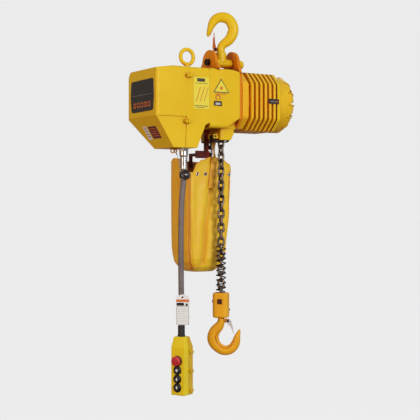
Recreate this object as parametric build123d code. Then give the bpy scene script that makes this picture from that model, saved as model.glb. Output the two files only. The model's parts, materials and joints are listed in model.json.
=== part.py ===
from build123d import *
import os
from math import acos, cos, pi, radians, sin, sqrt, tan

# Electric chain hoist, in millimetres. The origin is the bearing crown inside the top hook.
# The load chain hangs on x = y = 0, the motor is on the +X side, the labels face -Y.

# Chain
WIRE = 6.2                      # wire diameter, 0.1 under the nominal 6.3 for a gap at each bearing
PITCH = 19.0
BAR_HALF = 12.65                # link centre to its end bar's centre
SIDE_HALF = 7.1                 # link centre to its side bar's centre
POCKETS = 5                     # pockets of the sheave, so ten links a turn
FLAT_R = 28.21                  # sheave axis to the centre of a link lying flat on it
UPRIGHT_R = 30.26               # sheave axis to the centre of a link standing in its groove

# Axes
AXIS_Y = FLAT_R                 # motor and sheave axis
AXIS_Z = -212.0
SLACK_Y = AXIS_Y + UPRIGHT_R    # the slack chain falls here
MODULE = 1.0
PINION_TEETH = 12
GEAR_TEETH = 74
CENTRES = MODULE * (PINION_TEETH + GEAR_TEETH) / 2
LAY_Y = AXIS_Y + CENTRES * cos(radians(45))
LAY_Z = AXIS_Z - CENTRES * sin(radians(45))

# Gear casing
WALL = 4.0
CASE_X0, CASE_X1 = -63.0, 31.0
CASE_Y0, CASE_Y1 = -45.0, 107.0
CASE_Z0, CASE_Z1 = -289.0, -131.0
CASE_SHOULDER = -138.0          # the casing's top falls to this at the suspension plate
INNER_TOP = -146.0              # top of the space for the gears
PLATE_T = 8.0                   # suspension plate

# Control box
COVER_X0 = -224.0
SEAM_TOP, SEAM_LOW = -128.0, -137.0
BOX_Y1 = 114.0
BOX_LOW = -344.0
REAR_LOW = 58.0                 # the back slants in to this on its way down from the crease
CREASE_Z = -263.0
NOSE_Z, NOSE_FROM = -140.0, -165.0      # the cover's top falls towards its outer end
NOSE_R, REAR_NOSE_R = 7.0, 8.0          # its front and back upright corners
BOX_TOP_R, BOX_REAR_TOP_R = 13.0, 46.0      # the box's long top edges, front and back
LUG_R, LUG_OUT = 5.2, 3.2       # screw lugs along the seam, and how far their axes stand out
LUG_ROWS = (-156.0, -276.0)

# Suspension
BOLT_Z = -110.7
EYE_BORE = 15.2                 # hole of the lifting eye, with a short straight land
BOLT_R = 8.0
PLATE_R = 33.0
SHANK_R = 8.0
FIT = 0.08                      # radial running clearance

# Motor
MOTOR_HALF = 79.5
MOTOR_FLAT = 48.0
RIB_COUNT, RIB_X, RIB_PITCH, RIB_T = 7, 65.0, 14.5, 7.5
TUBE_R, TUBE_BORE = 69.0, 64.0
FAN_X0, FAN_X1, FAN_R = 160.0, 218.0, 78.0
VENTS = 14

# Lower block
BLOCK_TOP, BLOCK_LOW, BLOCK_HALF = -729.0, -796.5, 21.0
BLOCK_TURN = -44.0              # the chain twists by this much on its way down
SPRING_TOP, SPRING_R, SPRING_WIRE, SPRING_PITCH = -602.0, 12.2, 3.2, 13.0
HOOK_TURN = -32.0

# Pendant and its cable
GLAND_X, GLAND_LOW = -117.0, -398.0
INLET_X, INLET_Z, INLET_L, INLET_R = -98.0, -225.0, 24.0, 5.0       # supply gland on the back
CABLE_R = 7.5
PENDANT_X, PENDANT_TURN = -124.0, -65.0
PENDANT_TOP, PENDANT_LOW, SHOULDER_Z = -840.0, -994.0, -868.0
HEAD_HALF = 15.0               # half width and half depth of the pendant's top
PENDANT_HALF, PENDANT_FRONT, PENDANT_BACK = 20.0, -18.0, 24.5
BUTTON_Z = {"button_start": -927.5, "button_up": -950.5, "button_down": -973.5}
STOP_Z = -903.0
PRESS = 4.0                     # travel of every button

# Chain bag
BAG_X0, BAG_X1, BAG_Y0, BAG_Y1 = -86.0, 55.0, 32.0, 128.0
BAG_TOP, BAG_LOW, BAG_WALL = -375.0, -674.0, 2.5


def block(x0, x1, y0, y1, z0, z1):
    return Pos((x0 + x1) / 2, (y0 + y1) / 2, (z0 + z1) / 2) * Box(x1 - x0, y1 - y0, z1 - z0)


def rod_x(r, x0, x1, y, z):
    return Pos((x0 + x1) / 2, y, z) * Rot(0, 90, 0) * Cylinder(r, x1 - x0)


def rod_y(r, y0, y1, x, z):
    return Pos(x, (y0 + y1) / 2, z) * Rot(90, 0, 0) * Cylinder(r, y1 - y0)


def rod_z(r, z0, z1, x, y):
    return Pos(x, y, (z0 + z1) / 2) * Cylinder(r, z1 - z0)


def face_of(points, radius=0):
    face = make_face(Polyline(*points, close=True))
    return fillet(face.vertices(), radius) if radius else face


def along_y(face, y0, y1):
    """A face drawn in (x, z), as a solid from y0 to y1."""
    return extrude(Plane((0, y1, 0), x_dir=(1, 0, 0), z_dir=(0, -1, 0)) * face, y1 - y0)


def along_x(face, x0, x1):
    """A face drawn in (y, z), as a solid from x0 to x1."""
    return extrude(Plane((x0, 0, 0), x_dir=(0, 1, 0), z_dir=(1, 0, 0)) * face, x1 - x0)


def rect(a0, a1, b0, b1, radius=0):
    return face_of([(a0, b0), (a1, b0), (a1, b1), (a0, b1)], radius)


def turned(shape, angle, x=0.0, y=0.0):
    return Pos(x, y, 0) * Rot(0, 0, angle) * shape


def limb(stations, depth):
    """A forged limb: ellipses on the stations (u, z, half width), across the way it runs."""
    sections = []
    for i, (u, z, half) in enumerate(stations):
        before, after = stations[max(i - 1, 0)], stations[min(i + 1, len(stations) - 1)]
        run = Vector(after[0] - before[0], 0, after[1] - before[1])
        if i == 0 or i == len(stations) - 1:
            run = Vector(0, 0, run.Z) if half > 4 else run
        plane = Plane((u, 0, z), x_dir=(0, 1, 0), z_dir=run.normalized())
        sections.append(plane * Ellipse(min(depth, half * 1.3), half))
    return loft(sections)


# ---- hooks -------------------------------------------------------------------------------

def latch(pivot, tip, width, inner):
    """Sheet channel from the pivot to the hook's tip: its flanges stand out, away from the bowl."""
    along = Vector(tip[0] - pivot[0], 0, tip[1] - pivot[1])
    reach = along.length
    frame = Plane((pivot[0], 0, pivot[1]), x_dir=(0, 1, 0), z_dir=along.normalized())
    strip = Pos(0, 0, (7 + reach) / 2) * Box(width, 2, reach - 7)
    side = face_of([(-inner, -2), (5, -2), (7.5, 6), (3.4, 0.7 * reach), (-1, 0.78 * reach), (-1, 14), (-inner, 9)])
    flanges = [along_x(side, *x) for x in ((-width / 2, -width / 2 + 2), (width / 2 - 2, width / 2))]
    body = strip + flanges + [Pos(s * (width / 2 - 1), 0, 0) * Rot(0, 90, 0) * Cylinder(4, 2) for s in (-1, 1)]
    return frame * (body - Rot(0, 90, 0) * Cylinder(2.06, width + 2))


def latch_pin(pivot, width):
    shank = rod_y(2.0, -width / 2 - 0.4, width / 2 + 0.4, *pivot)
    heads = [rod_y(3.2, *sorted((s * (width / 2 + 0.4), s * (width / 2 + 1.9))), *pivot) for s in (-1, 1)]
    return shank + heads


TOP_PIVOT, TOP_TIP = (-15.0, -73.5), (-19.2, -28.5)
LOW_PIVOT, LOW_TIP = (18.5, -805.5), (35.5, -840.0)
LATCH_W = 13.0


def top_hook():
    bowl = limb([(-36, -38, 2), (-31.5, -25, 7), (-25, -6, 10.5), (-13, 9.3, 12.7), (2, 13.8, 13.6),
                 (19.5, 8.5, 14), (30.5, -7, 14.5), (32.5, -25, 14.5), (25, -43, 14), (11, -56, 12.5),
                 (1.5, -66, 11), (0, -78, 10.5), (0, -82, 10.5)], 11.5)
    shank = rod_z(SHANK_R, -98, -80, 0, 0)
    lug = block(-19, -6, -3, 3, -78.5, -68.5) - rod_y(2.0, -4, 4, *TOP_PIVOT)
    return turned(bowl + shank + lug, HOOK_TURN)


def lower_hook():
    bowl = limb([(0, -797, 9.5), (0, -808, 9.8), (-6.5, -821, 13), (-17, -834, 14.5), (-21.5, -851, 15.5),
                 (-15.5, -869, 14.5), (-2, -881, 13.5), (13, -885.3, 13), (28, -880.5, 12.5),
                 (38.5, -868, 11.8), (43, -853, 9.5), (46.7, -840, 6), (50, -829, 2)], 12.0)
    shank = rod_z(SHANK_R, -800, -773, 0, 0)
    lug = block(6, 22.5, -3, 3, -810.5, -800) - rod_y(2.0, -4, 4, *LOW_PIVOT)
    return turned(bowl + shank + lug, HOOK_TURN)


def shank_nut(z0, z1, r, bore):
    return rod_z(r, z0, z1, 0, 0) - rod_z(bore, z0 - 1, z1 + 1, 0, 0)


def hook_crosshead():
    body = rod_z(14, -108, -82.3, 0, 0) + rod_x(12, -29.5, 29.5, 0, BOLT_Z)
    body -= rod_x(BOLT_R + FIT, -31, 31, 0, BOLT_Z)
    body -= rod_z(SHANK_R + FIT, -90, -80, 0, 0)
    body -= rod_z(11.5, -99, -88, 0, 0) + block(-11.5, 11.5, 0, 16, -99, -88)
    return body


# ---- suspension and casing ------------------------------------------------------------------

def suspension_bolt():
    stem = rod_x(BOLT_R, -44, 67, 0, BOLT_Z)
    head = along_x(Pos(0, BOLT_Z) * RegularPolygon(9.5, 6), -48, -39)
    nut = along_x(Pos(0, BOLT_Z) * RegularPolygon(13.5, 6), 42, 58) + rod_x(14.5, 39, 42, 0, BOLT_Z)
    nut += fillet(rod_x(11.5, 57, 70, 0, BOLT_Z).edges().group_by(Axis.X)[-1], 7)
    return Compound([stem + head, nut - rod_x(BOLT_R, 38, 67, 0, BOLT_Z)])


def plate_head(foot, foot_z):
    """The round head of a suspension plate, flaring down to a foot of that half width."""
    head = Pos(0, BOLT_Z) * Circle(PLATE_R)
    side = [(PLATE_R, BOLT_Z), (foot - 7, -124), (foot, foot_z)]
    return head + face_of(side + [(-y, z) for y, z in reversed(side)])


def suspension_plate_left():
    plate = along_x(plate_head(52, CASE_Z1), -39, -31) & block(-40, -30, -60, 60, CASE_Z1, 0)
    return plate - rod_x(BOLT_R, -40, -30, 0, BOLT_Z)


def suspension_plate_right():
    face = plate_head(-CASE_Y0, CASE_SHOULDER)
    face += face_of([(CASE_Y0, -262), (-24, CASE_Z0 + 3), (CASE_Y1, CASE_Z0 + 3), (CASE_Y1, CASE_SHOULDER),
                     (CASE_Y0, CASE_SHOULDER)], 6)
    plate = along_x(face, CASE_X1, CASE_X1 + PLATE_T) - rod_x(BOLT_R, 30, 40, 0, BOLT_Z)
    return plate - rod_x(21, 30, 40, AXIS_Y, AXIS_Z)


def casing_hollow(x0, x1, gap=0.0):
    """The space inside the gear casing, or a plate that fills it with a gap all round."""
    high = block(x0, x1, CASE_Y0 + WALL + gap, CASE_Y1 - WALL - gap, -258 + gap, INNER_TOP - gap)
    low = block(x0, x1, -20 + gap, CASE_Y1 - WALL - gap, CASE_Z0 + WALL + gap, -250)
    return high + low


def chain_slots(z0, z1):
    return [block(-11.6, 11.6, y - 11.6, y + 11.6, z0, z1) for y in (0.0, SLACK_Y)]


def gear_casing():
    body = along_x(rect(CASE_Y0, CASE_Y1, CASE_Z0, CASE_Z1, 9), CASE_X0, CASE_X1)
    body -= casing_hollow(CASE_X0 + WALL, CASE_X1 + 1)
    body -= along_y(face_of([(-17, -290), (32, -260.5), (32, -290)]), -46, -24)
    body -= along_y(face_of([(8, CASE_Z1), (32, CASE_SHOULDER), (32, -120), (8, -120)]), -50, 110)
    body += rod_x(11, CASE_X0 + 1, -53, AXIS_Y, AXIS_Z) + rod_x(10, CASE_X0 + 1, -53, LAY_Y, LAY_Z)
    body -= rod_x(5.0, -60, -52, AXIS_Y, AXIS_Z) + rod_x(4.6, -60, -52, LAY_Y, LAY_Z)
    return body - chain_slots(CASE_Z0 - 1, CASE_Z0 + 6)


def bearing_plate():
    plate = casing_hollow(-20, -14) - rod_x(21, -21, -13, AXIS_Y, AXIS_Z)
    return plate - rod_x(4.6, -21, -13, LAY_Y, LAY_Z)


# ---- gears, sheave and motor shaft ---------------------------------------------------------------

def gear_face(teeth, addendum, rows, tooth_at, backlash=0.1):
    """Involute gear outline about the origin, with one tooth centred on the angle tooth_at."""
    pitch_r = MODULE * teeth / 2
    base_r = pitch_r * cos(radians(20))

    def inv(r):
        a = acos(min(base_r / r, 1))
        return tan(a) - a

    root, tip = pitch_r - 1.25 * MODULE, pitch_r + addendum
    half = pi / (2 * teeth) - backlash / (2 * pitch_r) + inv(pitch_r)
    low = max(root, base_r)
    radii = [low + (tip - low) * k / (rows - 1) for k in range(rows)]
    flank = [(root, half - inv(low))] + [(r, half - inv(r)) for r in radii if r > root + 0.01]
    points = []
    for k in range(teeth):
        middle = radians(tooth_at) + 2 * pi * k / teeth
        side = [(r, middle - a) for r, a in flank] + [(r, middle + a) for r, a in reversed(flank)]
        points += [(r * cos(t), r * sin(t)) for r, t in side]
    return make_face(Polyline(*points, close=True))


def gear(teeth, addendum, rows, tooth_at, x0, x1, y, z):
    return Pos(0, y, z) * along_x(gear_face(teeth, addendum, rows, tooth_at), x0, x1)


def load_sheave():
    body = rod_x(24.6, -12, 12, AXIS_Y, AXIS_Z) + rod_x(14, -36, 38, AXIS_Y, AXIS_Z)
    body -= rod_x(40, -3.7, 3.7, AXIS_Y, AXIS_Z) - rod_x(17.5, -5, 5, AXIS_Y, AXIS_Z)
    lobe = block(3.8, 11.5, -32.5, -22, -2.1, 2.1) + block(-11.5, -3.8, -32.5, -22, -2.1, 2.1)
    for k in range(POCKETS):
        body += Pos(0, AXIS_Y, AXIS_Z) * Rot(36 + 360 / POCKETS * k, 0, 0) * lobe
    return body - rod_x(7.6, -37, 39, AXIS_Y, AXIS_Z)


def output_gear():
    wheel = gear(GEAR_TEETH, 0.7, 2, -45 + 180 / GEAR_TEETH, -35, -23, AXIS_Y, AXIS_Z)
    return wheel - rod_x(14.02, -36, -22, AXIS_Y, AXIS_Z)


def layshaft():
    shaft = rod_x(4.55, -58.5, -14.5, LAY_Y, LAY_Z)
    shaft += gear(PINION_TEETH, 1.0, 4, 135, -37, -22, LAY_Y, LAY_Z)
    wheel = gear(GEAR_TEETH, 0.7, 2, 135 + 180 / GEAR_TEETH, -51, -41, LAY_Y, LAY_Z)
    return Compound([shaft, wheel - rod_x(4.57, -52, -40, LAY_Y, LAY_Z)])


def motor_rotor():
    shaft = rod_x(4.7, -58.5, -35, AXIS_Y, AXIS_Z) + rod_x(6.5, -36, 42, AXIS_Y, AXIS_Z)
    shaft += rod_x(9.95, 42, 150, AXIS_Y, AXIS_Z) + rod_x(8, 150, 201, AXIS_Y, AXIS_Z)
    shaft += gear(PINION_TEETH, 1.0, 4, -45, -52, -40, AXIS_Y, AXIS_Z)
    core = rod_x(45.5, 72, 132, AXIS_Y, AXIS_Z) - rod_x(9.95, 71, 133, AXIS_Y, AXIS_Z)
    return Compound([shaft, core])


def ring_x(outer, inner, x0, x1):
    return rod_x(outer, x0, x1, AXIS_Y, AXIS_Z) - rod_x(inner, x0 - 1, x1 + 1, AXIS_Y, AXIS_Z)


def bearings():
    sheave = [ring_x(21, 14.05, -20, -14), ring_x(21, 14.05, 31.5, 38.5)]
    return Compound(sheave + [ring_x(20, 10, 44, 56), ring_x(20, 10, 138, 150)])


# ---- motor ----------------------------------------------------------------------------------------

def eight_sides(half, x0, x1, radius=14):
    flat = MOTOR_FLAT * half / MOTOR_HALF
    corners = [(half, -flat), (half, flat), (flat, half), (-flat, half), (-half, flat), (-half, -flat),
               (-flat, -half), (flat, -half)]
    return Pos(0, AXIS_Y, AXIS_Z) * along_x(face_of(corners, radius), x0, x1)


def motor_casing():
    body = eight_sides(76, CASE_X1 + PLATE_T, 58) + rod_x(TUBE_R, 57, 150, AXIS_Y, AXIS_Z)
    body += [eight_sides(MOTOR_HALF, RIB_X + RIB_PITCH * k, RIB_X + RIB_PITCH * k + RIB_T)
             for k in range(RIB_COUNT - 1)]
    body -= rod_x(TUBE_BORE, 58, 151, AXIS_Y, AXIS_Z)
    return body - rod_x(20, 42, 60, AXIS_Y, AXIS_Z) - rod_x(11, 38, 43, AXIS_Y, AXIS_Z)


def end_shield():
    body = eight_sides(MOTOR_HALF, 150, 160) + rod_x(24, 138, 151, AXIS_Y, AXIS_Z)
    return body - rod_x(20, 137, 150, AXIS_Y, AXIS_Z) - rod_x(9, 149, 161, AXIS_Y, AXIS_Z)


def brake_coil():
    body = ring_x(52, 12, 172, 182) + ring_x(42, 12, 169.6, 173)
    for k in range(3):
        a = radians(90 + 120 * k)
        body += rod_x(4, 160, 174, AXIS_Y + 47.5 * cos(a), AXIS_Z + 47.5 * sin(a))
    return body


def fan():
    hub = rod_x(14, 188, 200, AXIS_Y, AXIS_Z)
    blade = block(188, 200, 12, 62, -1, 1)
    for k in range(8):
        hub += Pos(0, AXIS_Y, AXIS_Z) * Rot(45 * k, 0, 0) * blade
    return hub - rod_x(8, 187, 201, AXIS_Y, AXIS_Z)


def fan_cover():
    def dome(r, x1, round_r):
        body = rod_x(r, FAN_X0, x1, AXIS_Y, AXIS_Z)
        return fillet(body.edges().group_by(Axis.X)[-1], round_r)

    hollow = dome(FAN_R - 2.5, FAN_X1 - 2.5, 21.5)
    shell = dome(FAN_R, FAN_X1, 24)
    lips = dome(FAN_R + 1.8, FAN_X1 + 1.8, 25)
    slot = block(200, FAN_X1 + 2, 27, FAN_R + 5, -4.2, 4.2)
    lip = block(192, FAN_X1 + 2, 24, FAN_R + 2, 4.2, 6.8)
    around = [Pos(0, AXIS_Y, AXIS_Z) * Rot(360 / VENTS * k, 0, 0) for k in range(VENTS)]
    shell += [place * lip & lips for place in around]
    return shell - hollow - [place * slot for place in around]


# ---- chain guide and limit lever ---------------------------------------------------------------------

GUIDE_LOW = -319.0


def chain_guide():
    funnel = along_y(face_of([(-17, CASE_Z0), (24, CASE_Z0), (25, -301), (15, GUIDE_LOW), (-17, GUIDE_LOW)]), -25, 80)
    body = fillet(funnel.edges().filter_by(Axis.Z), 6) + block(-22, -16, -9, 9, -315, -297)
    body += [block(-32, -18, *ys, -315, -303) for ys in ((9, 15), (-15, -9))]
    body -= chain_slots(-330, CASE_Z0 + 1)
    return body - rod_y(3.06, -16, 16, -27, LEVER_Z)


LEVER_Z = -309.0


def limit_lever():
    low = GUIDE_LOW - 5.5
    plate = block(-31, 14, -14, 14, low, low + 2.5) - block(-12.2, 12.2, -12.2, 12.2, low - 1, low + 4)
    tab = block(-30.5, -23.5, -8, 8, low + 1, LEVER_Z + 3.5)
    return plate + tab + rod_y(3.0, -15, 15, -27, LEVER_Z)


# ---- control box ---------------------------------------------------------------------------------------

def rear_y(z):
    """The back of the control box at the height z: rounded at the top, slanting in below the crease."""
    rise = z - (CASE_Z1 - BOX_REAR_TOP_R)
    if rise > 0:
        return BOX_Y1 - BOX_REAR_TOP_R + sqrt(BOX_REAR_TOP_R**2 - rise**2)
    return BOX_Y1 - (BOX_Y1 - REAR_LOW) * max(CREASE_Z - z, 0) / (CREASE_Z - BOX_LOW)


def box_side(inset):
    """The control box seen along X: its back slants in below the crease, and its top is rounded."""
    low = BOX_LOW - 5
    face = face_of([(CASE_Y0, low), (rear_y(low), low), (BOX_Y1, CREASE_Z), (BOX_Y1, CASE_Z1), (CASE_Y0, CASE_Z1)])
    face = offset(face, -inset, kind=Kind.INTERSECTION) if inset else face
    corners = face.vertices()
    top = corners.group_by(Axis.Y)[-1].sort_by(Axis.X)
    face = fillet(top[0], BOX_TOP_R - inset)
    top = face.vertices().filter_by(lambda v: v.X > BOX_Y1 - inset - 1 and v.Y > CREASE_Z + 20)
    return fillet(top, BOX_REAR_TOP_R - inset)


def box_space(points, inset):
    """The control box outline in front view, pulled in by inset, and its outline seen along X."""
    face = face_of(points)
    front = offset(face, -inset, kind=Kind.INTERSECTION) if inset else face
    return along_y(front, CASE_Y0 + inset, BOX_Y1 - inset) & along_x(box_side(inset), -240, -50)


def lugs(seam_side):
    sites = [(y, z) for z in LUG_ROWS for y in (CASE_Y0 - LUG_OUT, rear_y(z) + LUG_OUT)]
    made = []
    for y, z in sites:
        seam = SEAM_TOP + (SEAM_LOW - SEAM_TOP) * (CASE_Z1 - z) / (CASE_Z1 - BOX_LOW)
        x0, x1 = (seam - 7.5, seam - 0.4) if seam_side < 0 else (seam + 0.4, seam + 8)
        made.append(rod_x(LUG_R, x0, x1, y, z))
    return made


def control_housing():
    rim = [(SEAM_TOP, CASE_Z1), (CASE_X0, CASE_Z1), (CASE_X0, -276), (-77, -283), (-102, BOX_LOW),
           (SEAM_LOW, BOX_LOW)]
    open_rim = [(SEAM_TOP - 12, CASE_Z1), *rim[1:5], (SEAM_LOW - 12, BOX_LOW)]
    body = box_space(rim, 0) - box_space(open_rim, 3)
    body += lugs(1)
    body -= box_space(open_rim, 3)
    body += rod_z(10, CASE_Z1 - 12, CASE_Z1 - 2, -90, AXIS_Y)
    body -= rod_z(6.0, CASE_Z1 - 14, CASE_Z1 + 1, -90, AXIS_Y)
    body -= rod_z(8.5, BOX_LOW - 1, BOX_LOW + 6, GLAND_X, 0)
    return body - rod_y(8.5, BOX_Y1 - 6, BOX_Y1 + 1, INLET_X, INLET_Z)


def control_cover():
    rim = [(COVER_X0, NOSE_Z), (NOSE_FROM, CASE_Z1), (SEAM_TOP, CASE_Z1), (SEAM_LOW, BOX_LOW), (-173, BOX_LOW),
           (COVER_X0, CREASE_Z)]
    open_rim = [*rim[:2], (SEAM_TOP + 12, CASE_Z1), (SEAM_LOW + 12, BOX_LOW), *rim[4:]]
    body = box_space(rim, 0)
    plan = rect(COVER_X0, -100, CASE_Y0, BOX_Y1)
    corners = plan.vertices().group_by(Axis.X)[0].sort_by(Axis.Y)
    plan = fillet(corners[0], NOSE_R)
    corner = plan.vertices().filter_by(lambda v: v.X < COVER_X0 + 1 and v.Y > BOX_Y1 - 1)
    body &= Pos(0, 0, BOX_LOW - 1) * extrude(fillet(corner, REAR_NOSE_R), CASE_Z1 - BOX_LOW + 2)
    body -= block(-230, -100, CASE_Y0 - 1, CASE_Y0 + 1.6, BOX_LOW - 1, CREASE_Z)
    body += lugs(-1)
    return body - box_space(open_rim, 3)


def cap_screws():
    """Cap screws of the cover lugs and fan cover, each a head with a short visible shank."""
    screws = []
    for lug in lugs(-1):
        box = lug.bounding_box()
        y, z = (box.min.Y + box.max.Y) / 2, (box.min.Z + box.max.Z) / 2
        screws.append(rod_x(2.5, box.min.X - 2, box.min.X, y, z) - rod_x(1.3, box.min.X - 3, box.min.X - 1, y, z))
    for a in (45, 135, 225, 315):
        at = Pos(165, AXIS_Y, AXIS_Z) * Rot(a, 0, 0)
        screws.append(at * (rod_z(4.5, FAN_R, FAN_R + 3, 0, 0) - rod_z(2.2, FAN_R + 1.5, FAN_R + 4, 0, 0)))
    for x, y in [(x, y) for x in (-11, 9) for y in (-19, 74.5)]:
        screws.append(rod_z(4, GUIDE_LOW - 4, GUIDE_LOW, x, y) - rod_z(2, GUIDE_LOW - 5, GUIDE_LOW - 2, x, y))
    return Compound(screws)


def contactors():
    made = []
    for y in (-32.0, 16.0):
        body = block(-170, -127, y, y + 42, -215, -155) - block(-175, -160, y + 5, y + 37, -205, -165)
        made.append(body + block(-165, -158, y + 12, y + 30, -195, -175))
    return Compound(made)


def transformer():
    core = block(-165, -127, 64, 104, -225, -160) - block(-170, -120, 72, 78, -215, -170)
    core -= block(-170, -120, 90, 96, -215, -170)
    coil = block(-168, -124.5, 78, 90, -214, -171)
    return core + fillet(coil.edges().filter_by(Axis.X), 3) - block(-127, -120, 60, 110, -230, -150)


def terminal_block():
    body = block(-150, -127, -30, 90, -262, -240)
    for k in range(10):
        body -= rod_x(3.5, -152, -144, -24 + 12 * k, -251)
    return body


def eye_bolt():
    ring = Pos(-90, AXIS_Y, -96.4) * Rot(90, 0, 0) * Torus(19.8, 5.2)
    collar = rod_z(12, CASE_Z1, CASE_Z1 + 4, -90, AXIS_Y) + rod_z(8, CASE_Z1 + 3, -117, -90, AXIS_Y)
    stem = rod_z(6.0, CASE_Z1 - 14, CASE_Z1 + 1, -90, AXIS_Y)
    bore = rod_y(EYE_BORE, AXIS_Y - 10, AXIS_Y + 10, -90, -96.4)
    return ring + collar + stem - bore


def capacity_plate():
    outline = face_of([(-29, -166), (93, -166), (95, -207), (93, -249), (-29, -249), (-31, -207)], 6)
    return along_x(outline, COVER_X0 - 1.2, COVER_X0)


def label_plates():
    front = [rect(-114.5, -66, -242, -158, 2), face_of([(-52, -195), (-3.5, -195), (-28, -159)]),
             rect(-51, -26, -231, -219), Pos(-38, -207) * Circle(6.5)]
    plates = [along_y(face, CASE_Y0 - 0.5, CASE_Y0) for face in front]
    badge = along_y(rect(125, 158, -216, -205), AXIS_Y - MOTOR_HALF - 0.8, AXIS_Y - MOTOR_HALF)
    return Compound([*plates, badge, capacity_plate()])


# ---- glands, cable and pendant ---------------------------------------------------------------------------

def gland(length, bore=0.0):
    """A cable gland standing down from a wall at z = 0, with its threaded end in the wall."""
    body = rod_z(8.4, -1, 5, 0, 0) + Pos(0, 0, -7) * extrude(RegularPolygon(14.5, 6), 7)
    cap = rod_z(11.5, -18, -6, 0, 0) + Pos(0, 0, -20.5) * Cone(9.5, 11.5, 5)
    made = body + cap + rod_z(9.5, -length, -19, 0, 0)
    return made - rod_z(bore, -length - 1, 1 - 5, 0, 0) if bore else made


def cable_glands():
    inlet = Pos(INLET_X, BOX_Y1, INLET_Z) * Rot(90, 0, 0) * gland(INLET_L, INLET_R)
    return Compound([Pos(GLAND_X, 0, BOX_LOW) * gland(BOX_LOW - GLAND_LOW), inlet])


CABLE_PATH = [(GLAND_X, 0, GLAND_LOW), (GLAND_X, 0, -430), (-121.5, 0.2, -463), (-124.3, 0.6, -508),
              (-125, 0.9, -576), (-125, 0.5, -660), (PENDANT_X, 0, -745), (PENDANT_X, 0, -811)]


def cable_radii(path):
    radii = []
    for a, b, c in zip(path, path[1:], path[2:]):
        first, second = Vector(*b) - Vector(*a), Vector(*c) - Vector(*b)
        half_turn = radians(first.get_angle(second)) / 2
        radii.append(0.45 * min(first.length, second.length) / tan(half_turn))
    return radii


def pendant_cable():
    radii = cable_radii(CABLE_PATH)
    print("cable arc radii", [round(r) for r in radii])
    line = FilletPolyline(*CABLE_PATH, radius=radii)
    start = Plane(line @ 0, z_dir=line % 0)
    tube = sweep(start * Circle(CABLE_R), path=line)
    print("cable volume / (section x length)", tube.volume / (pi * CABLE_R**2 * line.length), line.length)
    return tube


CLAMP_Z0, CLAMP_Z1 = -422.0, -406.0


def strain_relief():
    """The clamp under the gland, its round knob, and the steel wire from the box to it."""
    ring = rod_z(11.5, CLAMP_Z0, CLAMP_Z1, -117, 0) - rod_z(7.9, CLAMP_Z0 - 1, CLAMP_Z1 + 1, -117, 0)
    knob = turned(Pos(6, 0, 0) * rod_y(13.0, -19, -9, 0, -414), HOOK_TURN, -117, 0)
    clamp = ring + (knob - rod_z(9.5, CLAMP_Z0 - 9, CLAMP_Z1 + 9, -117, 0))
    eye = block(-159, -137, -5, 5, BOX_LOW - 2.5, BOX_LOW) + rod_y(6.5, -2.5, 2.5, -151, BOX_LOW - 7)
    eye += block(-151, -141, -2.5, 2.5, BOX_LOW - 12, BOX_LOW - 2) + rod_y(5.5, -2.5, 2.5, -142, BOX_LOW - 7)
    eye -= rod_y(3.5, -3, 3, -151, BOX_LOW - 7)
    wire_path = Polyline((-138.6, 0, -355), (-131.6, 0, -376), (-128.2, 0, -395), (-127.0, 0, CLAMP_Z1))
    start = Plane(wire_path @ 0, z_dir=wire_path % 0)
    wire = sweep(start * Circle(0.8), path=wire_path, transition=Transition.ROUND)
    return Compound([clamp, eye, wire])


def cable_tag():
    card = rect(-17.7, 17.7, -809.5, -735, 1.5) + Pos(0, -742) * Ellipse(17.5, 14)
    tag = along_y(card, -9.4, -8.6) - rod_y(2.5, -10, -8, 0, -736)
    return turned(Pos(3.6, 0, 0) * tag, HOOK_TURN, PENDANT_X, 0)


def pendant_boot():
    body = rod_z(9.2, PENDANT_TOP - 4, -811, PENDANT_X, 0)
    return body + rod_z(10.2, PENDANT_TOP, PENDANT_TOP + 4, PENDANT_X, 0)


def pendant_half(y0, y1):
    """Half of the pendant's two-part shell, whose shoulders slant in to the boot."""
    outline = [(-HEAD_HALF, PENDANT_TOP), (HEAD_HALF, PENDANT_TOP), (PENDANT_HALF, SHOULDER_Z),
               (PENDANT_HALF, PENDANT_LOW), (-PENDANT_HALF, PENDANT_LOW), (-PENDANT_HALF, SHOULDER_Z)]
    depth = [(-HEAD_HALF + 2, PENDANT_TOP), (HEAD_HALF, PENDANT_TOP), (PENDANT_BACK, SHOULDER_Z),
             (PENDANT_BACK, PENDANT_LOW), (PENDANT_FRONT, PENDANT_LOW), (PENDANT_FRONT, SHOULDER_Z)]
    inner, inner_depth = (offset(face_of(p), -2.5, kind=Kind.INTERSECTION) for p in (outline, depth))
    shell = along_y(face_of(outline, 2), -30, 40) & along_x(face_of(depth, 3), -30, 30)
    shell -= along_y(inner, -30, 40) & along_x(inner_depth, -30, 30)
    return shell & block(-30, 30, y0, y1, PENDANT_LOW - 5, PENDANT_TOP + 5)


def placed(shape):
    return turned(shape, PENDANT_TURN, PENDANT_X, 0)


def pendant_front():
    shell = pendant_half(-30, 2) - rod_y(8.0, -25, -10, 0, STOP_Z)
    for z in BUTTON_Z.values():
        shell -= rod_y(10.3, -25, -10, 0, z)
    return placed(shell - rod_z(9.2, PENDANT_TOP - 5, PENDANT_TOP + 1, 0, 0))


LUG_SITES = [(s, z) for s in (-1, 1) for z in (-881.0, -931.0, -982.0)]


def pendant_back():
    shell = pendant_half(2, 30) - rod_z(9.2, PENDANT_TOP - 5, PENDANT_TOP + 1, 0, 0)
    for s, z in LUG_SITES:
        x0, x1 = sorted((s * 18.5, s * 26.4))
        ear = fillet(block(x0, x1, 6, 19, z - 4.5, z + 4.5).edges().filter_by(Axis.Y), 2.5)
        shell += ear - rod_y(1.6, 5, 20, s * 23.2, z)
    return placed(shell)


def pendant_screws():
    screws = [rod_y(1.6, 8, 19, s * 23.2, z) + rod_y(2.4, 19, 21, s * 23.2, z) for s, z in LUG_SITES]
    return placed(Compound(screws))


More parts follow.
